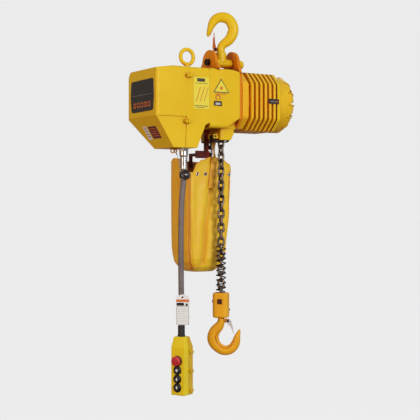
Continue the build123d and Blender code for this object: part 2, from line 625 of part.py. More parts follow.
def switch_block():
    body = block(-13, 13, -1, 21.5, -988, -880)
    for z in (STOP_Z, *BUTTON_Z.values()):
        body += rod_y(5, -4, 0, 0, z)
    return placed(body)


def stop_button():
    low = PENDANT_FRONT - PRESS - 0.4
    head = fillet(rod_y(12.8, low - 9, low, 0, STOP_Z).edges().group_by(Axis.Y)[0], 4)
    return placed(head + rod_y(7.6, low - 1, -9, 0, STOP_Z))


def push_button(z):
    return placed(fillet(rod_y(10.0, PENDANT_FRONT - PRESS - 0.5, -9, 0, z).edges().group_by(Axis.Y)[0], 2))


# ---- chains -------------------------------------------------------------------------------------------------

def link_solid():
    """One link in the XZ plane, long way up."""
    run = BAR_HALF - SIDE_HALF
    sides = [rod_z(WIRE / 2, -run, run, s * SIDE_HALF, 0) for s in (-1, 1)]
    ends = []
    for s in (-1, 1):
        half = Rot(90, 0, 0) * Torus(SIDE_HALF, WIRE / 2)
        ends.append(Pos(0, 0, s * run) * (half & block(-20, 20, -20, 20, *sorted((0, s * 20)))))
    return sides[0].fuse(sides[1], *ends).clean()


LINK = link_solid()
FIRST_LOAD = AXIS_Z - 4 * PITCH         # highest link of the part that moves with the hook
LOAD_LINKS = 25
TWIST_FROM = 9                          # links above this one always hang square to the guide


def link_at(x, y, z, turn):
    return Pos(x, y, z) * Rot(0, 0, turn) * LINK


def load_chain():
    links = []
    for k in range(LOAD_LINKS):
        twist = BLOCK_TURN * max(k - TWIST_FROM + 1, 0) / (LOAD_LINKS - TWIST_FROM)
        links.append(link_at(0, 0, FIRST_LOAD - PITCH * k, 90 * (k % 2) + twist))
    return Compound(links)


def slack_chain():
    return Compound([link_at(0, SLACK_Y, AXIS_Z - PITCH * k, 90 * ((k + 1) % 2)) for k in range(12)])


def chain_on_sheave():
    links = [link_at(0, 0, AXIS_Z - PITCH * k, 90 * (k % 2)) for k in range(4)]
    for k in range(1, POCKETS):
        radius = UPRIGHT_R if k % 2 else FLAT_R
        spin = Pos(0, AXIS_Y, AXIS_Z) * Rot(-36 * k, 0, 0) * Pos(0, -radius, 0)
        links.append(spin * Rot(0, 0, 90 * (k % 2)) * LINK)
    return Compound(links)


def buffer_spring():
    height = SPRING_TOP - BLOCK_TOP - SPRING_WIRE - 1
    path = Pos(0, 0, BLOCK_TOP + 0.5 + SPRING_WIRE / 2) * Helix(SPRING_PITCH, height, SPRING_R)
    start = Plane(path @ 0, z_dir=path % 0)
    return sweep(start * Circle(SPRING_WIRE / 2), path=path, is_frenet=True)


# ---- lower block ------------------------------------------------------------------------------------------------

PIN_Z = FIRST_LOAD - PITCH * (LOAD_LINKS - 1) - BAR_HALF + WIRE / 2 + 3.65
PIN_R = 3.6


def hook_block(y0, y1):
    body = fillet(block(-BLOCK_HALF, BLOCK_HALF, -19, 19, BLOCK_LOW, BLOCK_TOP).edges().filter_by(Axis.Z), 11)
    body = fillet(body.edges().group_by(Axis.Z)[-1] + body.edges().group_by(Axis.Z)[0], 5.5)
    body -= block(-11, 11, -3.8, 3.8, -764, BLOCK_TOP + 1) + block(-3.8, 3.8, -11, 11, -745, BLOCK_TOP + 1)
    body -= rod_z(12.5, -786, -768, 0, 0) + rod_z(SHANK_R + FIT, -800, -780, 0, 0)
    body -= rod_y(PIN_R, -20, 17, 0, PIN_Z)
    for x in (-16, 16):
        body -= rod_y(2.5, -13, 20, x, -777)
    half = body & block(-30, 30, y0, y1, -810, -720)
    return turned(half, BLOCK_TURN)


def block_fasteners():
    pin = rod_y(PIN_R, -20, 17, 0, PIN_Z) + block(-6, 6, -20.5, -19, PIN_Z - 9, PIN_Z + 4)
    nub = rod_x(4.5, -23.5, -BLOCK_HALF, 0, PIN_Z - 3)
    bolts = [rod_y(2.5, -13, 19.5, x, -777) + rod_y(4.5, 19, 22, x, -777) for x in (-16, 16)]
    washer = rod_z(14.2, BLOCK_TOP, BLOCK_TOP + 0.4, 0, 0)
    washer -= rod_z(11.4, BLOCK_TOP - 1, BLOCK_TOP + 2, 0, 0)
    return turned(Compound([pin, nub, washer, *bolts]), BLOCK_TURN)


# ---- chain bag ----------------------------------------------------------------------------------------------------

def bag_space(inset):
    front = face_of([(BAG_X0, BAG_TOP + 20), (BAG_X1, BAG_TOP + 20), (51, -500), (41, -620), (26, BAG_LOW),
                     (-66, BAG_LOW), (BAG_X0, -648)])
    side = face_of([(BAG_Y0, BAG_TOP + 20), (BAG_Y1, BAG_TOP + 20), (BAG_Y1, -635), (112, BAG_LOW),
                    (45, BAG_LOW), (BAG_Y0, -655)])
    front, side = (offset(face, -inset, kind=Kind.INTERSECTION) if inset else face for face in (front, side))
    return along_y(front, BAG_Y0 - 5, BAG_Y1 + 5) & along_x(side, BAG_X0 - 5, BAG_X1 + 5)


def chain_bag():
    body = bag_space(0) - bag_space(BAG_WALL) - block(-100, 100, BAG_Y0 + BAG_WALL, 200, BAG_TOP, -300)
    arch = face_of([(-100, -700), (100, -700), (56, -396), (50, -380), (30, -368), (0, -362), (-25, -361),
                    (-54, -372), (-84, -394)])
    trim = along_y(arch, BAG_Y0 - 1, BAG_Y0 + BAG_WALL) + block(-100, 100, BAG_Y0 + BAG_WALL, 200, -700, BAG_TOP)
    return body & trim


def bag_hanger():
    """Bracket under the casing: a leg, a broad plate behind the bag's front, and an arm to its back."""
    leg = block(-29, -17.5, 35.5, 42, -348, CASE_Z0)
    broad = block(-56, -14, 35.5, 42, -366, -346)
    arm = block(-26, -16, 42, 125.5, -358, -350) + block(-26, -16, 121.5, 125.5, -388, -350)
    return leg + broad + arm


def stored_chain():
    heap = block(-66, 24, 44, 108, -664, -565)
    return fillet(heap.edges(), 12)


NODES = {
    "top_hook": top_hook(),
    "top_hook_fittings": Compound([shank_nut(-97.5, -88.3, 10.8, SHANK_R + 0.01),
                                   turned(latch_pin(TOP_PIVOT, LATCH_W), HOOK_TURN)]),
    "top_latch": turned(latch(TOP_PIVOT, TOP_TIP, LATCH_W, 2), HOOK_TURN),
    "hook_crosshead": hook_crosshead(),
    "suspension_bolt": suspension_bolt(),
    "suspension_plate_left": suspension_plate_left(),
    "suspension_plate_right": suspension_plate_right(),
    "gear_casing": gear_casing(),
    "bearing_plate": bearing_plate(),
    "load_sheave": load_sheave(),
    "output_gear": output_gear(),
    "bearings": bearings(),
    "layshaft": layshaft(),
    "motor_rotor": motor_rotor(),
    "stator": ring_x(TUBE_BORE, 46.2, 72, 132),
    "motor_casing": motor_casing(),
    "end_shield": end_shield(),
    "brake_disc": ring_x(40, 8, 160.6, 164.6),
    "brake_armature": ring_x(42, 12, 165, 169),
    "brake_coil": brake_coil(),
    "fan": fan(),
    "fan_cover": fan_cover(),
    "cap_screws": cap_screws(),
    "chain_guide": chain_guide(),
    "limit_lever": limit_lever(),
    "control_housing": control_housing(),
    "control_cover": control_cover(),
    "control_panel": along_x(box_side(3.1), -127, -124) & block(-130, -120, -50, 120, -325, -160),
    "contactors": contactors(),
    "transformer": transformer(),
    "terminal_block": terminal_block(),
    "eye_bolt": eye_bolt(),
    "label_plates": label_plates(),
    "cable_glands": cable_glands(),
    "pendant_cable": pendant_cable(),
    "strain_relief": strain_relief(),
    "cable_tag": cable_tag(),
    "pendant_boot": pendant_boot(),
    "pendant_front": pendant_front(),
    "pendant_back": pendant_back(),
    "pendant_screws": pendant_screws(),
    "switch_block": switch_block(),
    "stop_button": stop_button(),
    **{name: push_button(z) for name, z in BUTTON_Z.items()},
    "load_chain": load_chain(),
    "slack_chain": slack_chain(),
    "chain_on_sheave": chain_on_sheave(),
    "stored_chain": stored_chain(),
    "buffer_spring": buffer_spring(),
    "hook_block_front": hook_block(-30, 0),
    "hook_block_back": hook_block(0, 30),
    "block_fasteners": block_fasteners(),
    "lower_hook": lower_hook(),
    "lower_hook_fittings": Compound([shank_nut(-785.5, -775, 11.5, SHANK_R + 0.01),
                                     turned(latch_pin(LOW_PIVOT, LATCH_W), HOOK_TURN)]),
    "lower_latch": turned(latch(LOW_PIVOT, LOW_TIP, LATCH_W, 5), HOOK_TURN),
    "chain_bag": chain_bag(),
    "bag_hanger": bag_hanger(),
    "bag_strap": block(-12, 2, 29.4, 31.6, -402, GUIDE_LOW),
}

os.makedirs("parts", exist_ok=True)
for name, shape in NODES.items():
    export_step(shape, f"parts/{name}.step")
print(len(NODES), "nodes")
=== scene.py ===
import json
from math import cos, exp, pi, radians, sin, sqrt

import bpy
from mathutils import Matrix, Vector, noise

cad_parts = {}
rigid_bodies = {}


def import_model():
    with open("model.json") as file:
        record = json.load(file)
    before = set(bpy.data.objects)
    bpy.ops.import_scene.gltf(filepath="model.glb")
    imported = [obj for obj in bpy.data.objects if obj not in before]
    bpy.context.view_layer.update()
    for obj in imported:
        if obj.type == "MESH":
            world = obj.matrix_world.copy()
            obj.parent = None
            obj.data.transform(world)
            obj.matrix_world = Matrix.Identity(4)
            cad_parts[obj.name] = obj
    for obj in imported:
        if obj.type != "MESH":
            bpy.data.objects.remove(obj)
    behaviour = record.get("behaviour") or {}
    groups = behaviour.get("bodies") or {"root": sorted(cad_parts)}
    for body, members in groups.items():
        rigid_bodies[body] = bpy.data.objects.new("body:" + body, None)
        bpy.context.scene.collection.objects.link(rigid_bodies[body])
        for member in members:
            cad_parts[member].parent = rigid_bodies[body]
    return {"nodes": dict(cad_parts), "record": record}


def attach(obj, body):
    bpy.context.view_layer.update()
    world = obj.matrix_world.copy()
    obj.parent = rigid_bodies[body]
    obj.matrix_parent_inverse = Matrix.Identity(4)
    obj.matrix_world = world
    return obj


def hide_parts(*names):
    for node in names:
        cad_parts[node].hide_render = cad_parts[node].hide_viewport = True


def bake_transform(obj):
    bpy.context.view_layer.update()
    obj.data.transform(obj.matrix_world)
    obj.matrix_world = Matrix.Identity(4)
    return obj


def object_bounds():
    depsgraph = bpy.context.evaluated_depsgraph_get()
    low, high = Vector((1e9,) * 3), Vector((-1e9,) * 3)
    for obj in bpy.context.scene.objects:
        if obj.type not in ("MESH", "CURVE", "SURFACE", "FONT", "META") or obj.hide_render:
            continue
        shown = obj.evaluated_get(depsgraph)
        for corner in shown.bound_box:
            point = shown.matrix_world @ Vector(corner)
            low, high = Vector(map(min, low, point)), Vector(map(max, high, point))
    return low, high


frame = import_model()
cad_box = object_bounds()
MM = 0.001

# ---- camera ----

VIEW_TURN = radians(32)
CAMERA_AT = Vector((-1.599, -2.503, -0.5065))
SENSOR, LENS = 36, 94.3
LOOK = Vector((sin(VIEW_TURN), cos(VIEW_TURN), 0))
ACROSS = Vector((cos(VIEW_TURN), -sin(VIEW_TURN), 0))


def add_camera():
    data = bpy.data.cameras.new("camera")
    data.sensor_width = SENSOR
    data.lens = LENS
    camera = bpy.data.objects.new("camera", data)
    camera.location = CAMERA_AT
    camera.rotation_euler = LOOK.to_track_quat("-Z", "Y").to_euler()
    bpy.context.scene.collection.objects.link(camera)
    bpy.context.scene.camera = camera


add_camera()


# ---- mesh helpers ----

def new_object(name, verts, faces, smooth=True):
    mesh = bpy.data.meshes.new(name)
    mesh.from_pydata([tuple(v) for v in verts], [], faces)
    mesh.update()
    obj = bpy.data.objects.new(name, mesh)
    bpy.context.scene.collection.objects.link(obj)
    for polygon in mesh.polygons:
        polygon.use_smooth = smooth
    return obj


def band_faces(rings, sides, closed=False):
    """Quads between neighbouring rings of points; closed joins the last ring to the first."""
    faces = []
    for i in range(rings if closed else rings - 1):
        j = (i + 1) % rings
        for k in range(sides):
            m = (k + 1) % sides
            faces.append((i * sides + k, i * sides + m, j * sides + m, j * sides + k))
    return faces


def end_caps(rings, sides):
    return [tuple(reversed(range(sides))), tuple(range((rings - 1) * sides, rings * sides))]


def flipped(faces):
    return [tuple(reversed(face)) for face in faces]


def tube(name, points, radius, sides=16, closed=False, radii=None):
    """A round tube along points, with frames carried from one point to the next."""
    points = [Vector(p) for p in points]
    count = len(points)
    verts = []
    normal = None
    for i, p in enumerate(points):
        ahead = points[(i + 1) % count] if closed or i < count - 1 else p
        behind = points[i - 1] if closed or i > 0 else p
        along = (ahead - behind).normalized()
        if normal is None:
            normal = along.orthogonal().normalized()
        normal = (normal - along * normal.dot(along)).normalized()
        other = along.cross(normal)
        r = radii[i] if radii else radius
        for k in range(sides):
            a = 2 * pi * k / sides
            verts.append(p + normal * (r * cos(a)) + other * (r * sin(a)))
    faces = band_faces(count, sides, closed)
    return new_object(name, verts, faces if closed else faces + end_caps(count, sides))


def dressed(obj, material):
    obj.data.materials.append(material)
    return obj


def slab(name, verts, material):
    """A thin printed shape: the outline's points at its back, then the same at its front."""
    n = len(verts) // 2
    return dressed(new_object(name, verts, flipped(end_caps(2, n) + band_faces(2, n)), False), material)


def ring_points(centre, radius, axis, count=40):
    axis = Vector(axis).normalized()
    side = axis.orthogonal().normalized()
    other = axis.cross(side)
    return [Vector(centre) + side * radius * cos(2 * pi * k / count)
            + other * radius * sin(2 * pi * k / count) for k in range(count)]


def join(name, objects):
    """Several meshes as one object, keeping each one's material."""
    first = objects[0]
    for o in bpy.context.scene.objects:
        o.select_set(o in objects)
    bpy.context.view_layer.objects.active = first
    bpy.ops.object.join()
    for o in bpy.context.selected_objects:
        o.select_set(False)
    first.name = name
    return first


def modifier(obj, kind, **settings):
    mod = obj.modifiers.new(kind.lower(), kind)
    for key, value in settings.items():
        setattr(mod, key, value)


def apply_modifiers(obj):
    graph = bpy.context.evaluated_depsgraph_get()
    mesh = bpy.data.meshes.new_from_object(obj.evaluated_get(graph), depsgraph=graph)
    obj.modifiers.clear()
    obj.data = mesh


def plate(name, outline, thickness, at, right, up, bevel=0.0002):
    """A flat plate: outline in (right, up) metres from at, standing out along right x up."""
    right, up = Vector(right).normalized(), Vector(up).normalized()
    out = right.cross(up)
    verts = [Vector(at) + right * a + up * b + out * h for h in (0, thickness) for a, b in outline]
    n = len(outline)
    obj = new_object(name, verts, end_caps(2, n) + band_faces(2, n), smooth=False)
    if bevel:
        modifier(obj, "BEVEL", width=bevel, segments=2, limit_method="ANGLE")
        apply_modifiers(obj)
    return obj


def arc(cx, cz, rx, rz, start, end, count=14):
    steps = [radians(start + (end - start) * k / count) for k in range(count + 1)]
    return [(cx + rx * cos(a), cz + rz * sin(a)) for a in steps]


def bar(x0, x1, z0, z1):
    return [(x0, z0), (x1, z0), (x1, z1), (x0, z1)]


def rounded_rect(width, height, radius):
    points = []
    x, z = width / 2 - radius, height / 2 - radius
    for cx, cz, start in ((x, z, 0), (-x, z, 90), (-x, -z, 180), (x, -z, 270)):
        points += arc(cx, cz, radius, radius, start, start + 90, 5)
    return points


# ---- materials ----

def srgb(r, g, b):
    """A colour for a shader from its display values, 0 to 255."""
    def linear(v):
        v /= 255
        return v / 12.92 if v <= 0.04045 else ((v + 0.055) / 1.055) ** 2.4

    return (linear(r), linear(g), linear(b), 1)


def noise_of(tree, coords, scale, detail=3.0, rough=0.55):
    made = tree.nodes.new("ShaderNodeTexNoise")
    made.inputs["Scale"].default_value = scale
    made.inputs["Detail"].default_value = detail
    made.inputs["Roughness"].default_value = rough
    tree.links.new(coords, made.inputs["Vector"])
    return made.outputs["Fac"]


def ramp(tree, value, stops):
    made = tree.nodes.new("ShaderNodeValToRGB")
    elements = made.color_ramp.elements
    while len(elements) < len(stops):
        elements.new(0.5)
    for element, (place, colour) in zip(elements, stops):
        element.position = place
        element.color = colour
    tree.links.new(value, made.inputs["Fac"])
    return made.outputs["Color"]


def grey(v):
    return (v, v, v, 1)


def mottled(tree, at, scale, low, high):
    """Noise of (scale, detail, roughness) stretched between two (place, grey) stops."""
    return ramp(tree, noise_of(tree, at, *scale), [(place, grey(value)) for place, value in (low, high)])


def feed(tree, value, shader, socket):
    tree.links.new(value, shader.inputs[socket])


def mix(tree, factor, a, b, how="MIX"):
    made = tree.nodes.new("ShaderNodeMix")
    made.data_type = "RGBA"
    made.blend_type = how
    for value, socket in ((factor, made.inputs[0]), (a, made.inputs[6]), (b, made.inputs[7])):
        if isinstance(value, bpy.types.NodeSocket):
            tree.links.new(value, socket)
        else:
            socket.default_value = value
    return made.outputs[2]


def edge_mask(tree, radius):
    """1 on sharp edges, 0 on flats, from how far a rounded normal leans from the true one."""
    bevel = tree.nodes.new("ShaderNodeBevel")
    bevel.samples = 4
    bevel.inputs["Radius"].default_value = radius
    geometry = tree.nodes.new("ShaderNodeNewGeometry")
    dot = tree.nodes.new("ShaderNodeVectorMath")
    dot.operation = "DOT_PRODUCT"
    tree.links.new(bevel.outputs["Normal"], dot.inputs[0])
    tree.links.new(geometry.outputs["Normal"], dot.inputs[1])
    return bevel.outputs["Normal"], ramp(tree, dot.outputs["Value"], [(0.80, grey(1)), (0.985, grey(0))])


def painted_crevice_shade(tree, base, tint, reach, strength=0.9):
    """Painted shade: the base colour, going to the shade tint where other surfaces stand close by."""
    hollow = tree.nodes.new("ShaderNodeAmbientOcclusion")
    hollow.samples = 6
    hollow.inputs["Distance"].default_value = reach
    crevice_shade_mask = ramp(tree, hollow.outputs["AO"], [(0.30, grey(strength)), (0.86, grey(0))])
    return mix(tree, crevice_shade_mask, base, tint)


def start_material(name, **settings):
    material = bpy.data.materials.new(name)
    material.use_nodes = True
    tree = material.node_tree
    shader = tree.nodes["Principled BSDF"]
    for key, value in settings.items():
        shader.inputs[key.replace("_", " ")].default_value = value
    coords = tree.nodes.new("ShaderNodeTexCoord").outputs["Object"]
    return material, tree, shader, coords


def bump(tree, shader, height, strength, distance, normal=None):
    made = tree.nodes.new("ShaderNodeBump")
    made.inputs["Strength"].default_value = strength
    made.inputs["Distance"].default_value = distance
    tree.links.new(height, made.inputs["Height"])
    if normal is not None:
        tree.links.new(normal, made.inputs["Normal"])
    tree.links.new(made.outputs["Normal"], shader.inputs["Normal"])


# crevice_shade is the tint of the painted shade where parts stand close together
def enamel(name, colour, deep, edge_radius=0.0016, worn=0.35, roughness=0.34, grain=900, reach=0.022,
           crevice_shade=srgb(176, 62, 10)):
    """Sprayed enamel: slow colour drift, orange peel, paler worn edges, painted shade in the lows and gaps.
    """
    material, tree, shader, at = start_material(name, Coat_Weight=0.08, Coat_Roughness=0.3,
                                                Specular_IOR_Level=0.2)
    drift = mottled(tree, at, (9, 3), (0.35, 0), (0.68, 1))
    base = mix(tree, drift, deep, colour)
    normal, edges = edge_mask(tree, edge_radius)
    chips = mottled(tree, at, (170, 5, 0.7), (0.47, 0), (0.62, worn))
    pale = mix(tree, 0.4, colour, (0.95, 0.82, 0.40, 1))
    base = mix(tree, mix(tree, 1.0, edges, chips, "MULTIPLY"), base, pale)
    # painted shade: the colour goes to the crevice tint where other surfaces stand close by
    feed(tree, painted_crevice_shade(tree, base, crevice_shade, reach), shader, "Base Color")
    rough = mottled(tree, at, (45, 4), (0.3, roughness - 0.07), (0.75, roughness + 0.1))
    feed(tree, rough, shader, "Roughness")
    bump(tree, shader, noise_of(tree, at, grain, 2), 0.12, 0.0004, normal)
    return material


def metal(name, colour, dark, roughness=0.35, scratch=420, pits=0.25, edge_radius=0.0006):
    """Bare or oiled steel: brushed streaks, darker patches and brighter edges."""
    material, tree, shader, at = start_material(name, Metallic=0.92)
    stretch = tree.nodes.new("ShaderNodeMapping")
    stretch.inputs["Scale"].default_value = (1, 1, 0.12)
    tree.links.new(at, stretch.inputs["Vector"])
    streaks = noise_of(tree, stretch.outputs["Vector"], scratch, 4)
    patches = mottled(tree, at, (60, 4), (0.35, 0), (0.7, 1))
    base = mix(tree, patches, dark, colour)
    normal, edges = edge_mask(tree, edge_radius)
    base = mix(tree, mix(tree, 1.0, edges, grey(0.6), "MULTIPLY"), base, (0.8, 0.79, 0.77, 1))
    feed(tree, base, shader, "Base Color")
    rough = ramp(tree, streaks, [(0.3, grey(roughness - 0.08)), (0.7, grey(roughness + 0.14))])
    feed(tree, rough, shader, "Roughness")
    bump(tree, shader, streaks, pits, 0.0002, normal)
    return material


def plastic(name, colour, deep, roughness=0.38, grain=1500, coat=0.1, strength=0.15):
    """Moulded plastic or rubber: fine spark texture and faint handling marks."""
    material, tree, shader, at = start_material(name, Coat_Weight=coat, Coat_Roughness=0.25)
    drift = mottled(tree, at, (30, 4), (0.3, 0), (0.7, 1))
    feed(tree, mix(tree, drift, deep, colour), shader, "Base Color")
    marks = mottled(tree, at, (120, 5, 0.7), (0.35, roughness - 0.06), (0.75, roughness + 0.12))
    feed(tree, marks, shader, "Roughness")
    normal, _ = edge_mask(tree, 0.0006)
    bump(tree, shader, noise_of(tree, at, grain, 2), strength, 0.0002, normal)
    return material


def canvas(name, colour, deep, pale, crevice_shade=srgb(190, 84, 8)):
    """Coated canvas: plain weave under a thin coat, painted shade in folds and close places, rubbed places
    paler.
    """
    material, tree, shader, at = start_material(name, Sheen_Weight=0.15, Sheen_Roughness=0.5,
                                                Coat_Weight=0.12, Coat_Roughness=0.4)
    drift = mottled(tree, at, (22, 4), (0.3, 0), (0.72, 1))
    base = mix(tree, drift, deep, colour)
    rub = mottled(tree, at, (75, 5, 0.7), (0.55, 0), (0.8, 0.35))
    base = mix(tree, rub, base, pale)
    # painted shade: folds and close places go to the crevice tint
    feed(tree, painted_crevice_shade(tree, base, crevice_shade, 0.03, 0.8), shader, "Base Color")
    yarns = []
    for way, scale in (("Z", 260), ("DIAGONAL", 210)):
        wave = tree.nodes.new("ShaderNodeTexWave")
        wave.bands_direction = way
        wave.inputs["Scale"].default_value = scale
        wave.inputs["Distortion"].default_value = 0.6
        tree.links.new(at, wave.inputs["Vector"])
        yarns.append(wave.outputs["Fac"])
    bump(tree, shader, mix(tree, 0.5, *yarns), 0.35, 0.0003)
    feed(tree, mottled(tree, at, (50, 3), (0.3, 0.46), (0.7, 0.62)), shader, "Roughness")
    return material


def printed(name, colour, roughness=0.42):
    """Printed film or card: near-flat colour with faint mottling."""
    material, tree, shader, at = start_material(name)
    mottle = mottled(tree, at, (260, 4), (0.3, 0.9), (0.7, 1))
    feed(tree, mix(tree, 1.0, mottle, colour, "MULTIPLY"), shader, "Base Color")
    rough = mottled(tree, at, (90, 3), (0.3, roughness - 0.05), (0.7, roughness + 0.08))
    feed(tree, rough, shader, "Roughness")
    bump(tree, shader, noise_of(tree, at, 1200, 2), 0.05, 0.0002)
    return material


def two_tone(name, first, second, edge, width=0.0008):
    """One material left of the edge, and another right of it."""
    material = bpy.data.materials.new(name)
    material.use_nodes = True
    tree = material.node_tree
    shaders = []
    for source in (first, second):
        copies = {}
        for old in source.node_tree.nodes:
            if old.type == "OUTPUT_MATERIAL":
                continue
            made = tree.nodes.new(old.bl_idname)
            for prop in old.bl_rna.properties:
                if prop.identifier in ("data_type", "blend_type", "operation", "samples"):
                    setattr(made, prop.identifier, getattr(old, prop.identifier))
            if old.type == "VALTORGB":
                while len(made.color_ramp.elements) < len(old.color_ramp.elements):
                    made.color_ramp.elements.new(0.5)
                for a, b in zip(made.color_ramp.elements, old.color_ramp.elements):
                    a.position, a.color = b.position, b.color
            for k, socket in enumerate(old.inputs):
                if hasattr(socket, "default_value") and k < len(made.inputs):
                    made.inputs[k].default_value = socket.default_value
            copies[old.name] = made
        for link in source.node_tree.links:
            if link.to_node.type != "OUTPUT_MATERIAL":
                a, b = copies[link.from_node.name], copies[link.to_node.name]
                out = [x.identifier for x in link.from_node.outputs].index(link.from_socket.identifier)
                into = [x.identifier for x in link.to_node.inputs].index(link.to_socket.identifier)
                tree.links.new(a.outputs[out], b.inputs[into])
        shaders.append(next(n for n in copies.values() if n.type == "BSDF_PRINCIPLED"))
    tree.nodes.remove(next(n for n in tree.nodes if n.type == "BSDF_PRINCIPLED" and n not in shaders))
    split = tree.nodes.new("ShaderNodeSeparateXYZ")
    tree.links.new(tree.nodes.new("ShaderNodeTexCoord").outputs["Object"], split.inputs[0])
    step = tree.nodes.new("ShaderNodeMapRange")
    step.inputs["From Min"].default_value = edge - width
    step.inputs["From Max"].default_value = edge + width
    tree.links.new(split.outputs["X"], step.inputs["Value"])
    blend = tree.nodes.new("ShaderNodeMixShader")
    tree.links.new(step.outputs["Result"], blend.inputs["Fac"])
    for k, shader in enumerate(shaders):
        tree.links.new(shader.outputs["BSDF"], blend.inputs[k + 1])
    output = next(n for n in tree.nodes if n.type == "OUTPUT_MATERIAL")
    tree.links.new(blend.outputs["Shader"], output.inputs["Surface"])
    return material


YELLOW = enamel("enamel_yellow", srgb(240, 203, 30), srgb(236, 195, 22))
SHADE_YELLOW = enamel("enamel_fan", srgb(244, 200, 36), srgb(238, 188, 26))
# The motor fins: the gaps between them get an orange painted shade over a short reach.
FIN_YELLOW = enamel("enamel_fins", srgb(248, 198, 36), srgb(242, 184, 24), reach=0.009,
                    crevice_shade=srgb(226, 118, 22))
# The suspension plates: a deeper orange that stands in for the shade on their faces.
PLATE_SHADE_ORANGE = enamel("enamel_plates_painted_shade", srgb(234, 148, 10), srgb(224, 130, 6), worn=0.5)
BLOCK_YELLOW = enamel("enamel_hook", srgb(244, 184, 36), srgb(234, 166, 26), worn=0.45, roughness=0.42)
CLOTH_SHADE = srgb(214, 118, 12)
# The bag's sides: the same canvas, painted darker and more orange as painted shade for the sides turned from
# the light.
GUSSET_CLOTH_SHADE = canvas("canvas_gusset_painted_shade", srgb(250, 196, 24), srgb(244, 180, 16), srgb(252, 208, 60),
                      CLOTH_SHADE)
# The hook's ridges: a darker orange, painted shade along each ridge.
RIDGE_SHADE_ORANGE = enamel("enamel_ridge_painted_shade", srgb(208, 118, 20), srgb(190, 96, 14), worn=0.3, roughness=0.42)
# The bag hanger: a dark bar whose maroon is partly its own dark colour and partly painted shade for its
# shaded underside.
MAROON_SHADE = enamel("enamel_maroon_painted_shade", srgb(104, 34, 26), srgb(72, 22, 18), worn=0.2)
MATERIALS = {
    "yellow_paint": YELLOW,
    "orange_paint": BLOCK_YELLOW,
    "bare_steel": metal("steel_bare", srgb(190, 188, 186), srgb(142, 140, 138)),
    "dark_steel": metal("steel_black", srgb(58, 46, 46), srgb(28, 22, 24), roughness=0.42),
    "chain_steel": metal("steel_chain", srgb(148, 134, 124), srgb(58, 46, 42), roughness=0.3),
    "zinc": metal("steel_zinc", srgb(226, 226, 228), srgb(168, 170, 176), roughness=0.2),
    "cast_alloy": metal("alloy_cast", srgb(176, 178, 180), srgb(140, 142, 146), roughness=0.5, pits=0.5),
    "iron": metal("iron_cast", srgb(92, 90, 90), srgb(56, 54, 54), roughness=0.5, pits=0.5),
    "winding": metal("copper_wound", srgb(188, 104, 56), srgb(120, 58, 30), roughness=0.4),
    "black_plastic": plastic("plastic_black", srgb(34, 30, 34), srgb(20, 18, 20), roughness=0.26, coat=0.4),
    "grey_plastic": plastic("plastic_grey", srgb(150, 152, 154), srgb(126, 128, 130)),
    "pendant_yellow": plastic("plastic_lemon", srgb(250, 226, 14), srgb(242, 212, 8), roughness=0.33,
                              coat=0.2),
    "stop_red": plastic("plastic_red", srgb(214, 44, 62), srgb(184, 28, 42), roughness=0.3, coat=0.3),
    "black_rubber": plastic("rubber_black", srgb(38, 34, 36), srgb(22, 20, 22), roughness=0.5, coat=0),
    "cable_grey": plastic("rubber_grey", srgb(128, 116, 118), srgb(100, 90, 94), roughness=0.4, grain=700),
    "bag_fabric": canvas("canvas_yellow", srgb(250, 210, 28), srgb(246, 196, 20), srgb(252, 222, 70),
                         CLOTH_SHADE),
    "tag_card": printed("card_white", srgb(240, 246, 252)),
    "label_film": printed("film_yellow", srgb(246, 228, 56)),
}
BOLT_TONES = two_tone("bolt_black_and_nut_yellow", MATERIALS["dark_steel"], YELLOW, 0.034)
SCREW_TONES = two_tone("screws_yellow_and_steel", YELLOW, MATERIALS["dark_steel"], -0.1)
# The pendant's back shell: the lemon plastic painted darker, as painted shade for the side away from the
# light.
PENDANT_SHADE = plastic("plastic_lemon_painted_shade", srgb(226, 188, 22), srgb(214, 172, 16), roughness=0.36)
LATCH_PLATED = plastic("latch_plated", srgb(226, 224, 228), srgb(196, 192, 198), roughness=0.3,
                       coat=0.4)
LATCH_BROWN = enamel("enamel_latch", srgb(190, 96, 44), srgb(146, 64, 32), worn=0.4)
BROWN_STEEL = metal("steel_brown", srgb(104, 60, 44), srgb(62, 34, 28), roughness=0.45)
NODE_MATERIALS = {
    "top_latch": LATCH_BROWN,
    "suspension_plate_left": PLATE_SHADE_ORANGE,
    "suspension_plate_right": PLATE_SHADE_ORANGE,
    "suspension_bolt": BOLT_TONES,
    "cap_screws": SCREW_TONES,
    "fan_cover": SHADE_YELLOW,
    "motor_casing": FIN_YELLOW,
    "bag_hanger": MAROON_SHADE,
    "block_fasteners": BROWN_STEEL,
    "lower_latch": LATCH_PLATED,
    "pendant_back": PENDANT_SHADE,
}
INK = printed("ink_black", srgb(34, 31, 33), roughness=0.35)
ORANGE_INK = printed("ink_orange", srgb(222, 120, 44))
GREEN_INK = printed("ink_olive", srgb(112, 112, 62))
GREY_INK = printed("ink_grey", srgb(128, 130, 132))
PALE_INK = printed("ink_pale", srgb(206, 205, 198))
MAROON_INK = printed("ink_maroon", srgb(104, 40, 58))
GLOSS_BLACK = plastic("plate_black", srgb(30, 31, 33), srgb(20, 21, 23), roughness=0.3, coat=0.3)
GOLD_PAINT = enamel("enamel_gold", srgb(222, 164, 40), srgb(196, 132, 24))
# The webbing: its fourth colour is the painted shade in its folds and where it lies close to other parts.
SEAM_CLOTH = canvas("webbing_yellow", srgb(250, 196, 26), srgb(240, 170, 16), srgb(252, 214, 70),
                    srgb(226, 140, 20))


def dress_cad_nodes():
    """Each CAD node gets its own material, or that of its slot."""
    for part in frame["record"]["subparts"]:
        for slot in frame["nodes"][part["node"]].material_slots:
            slot.material = NODE_MATERIALS.get(part["node"], MATERIALS[part["material_slot"]])


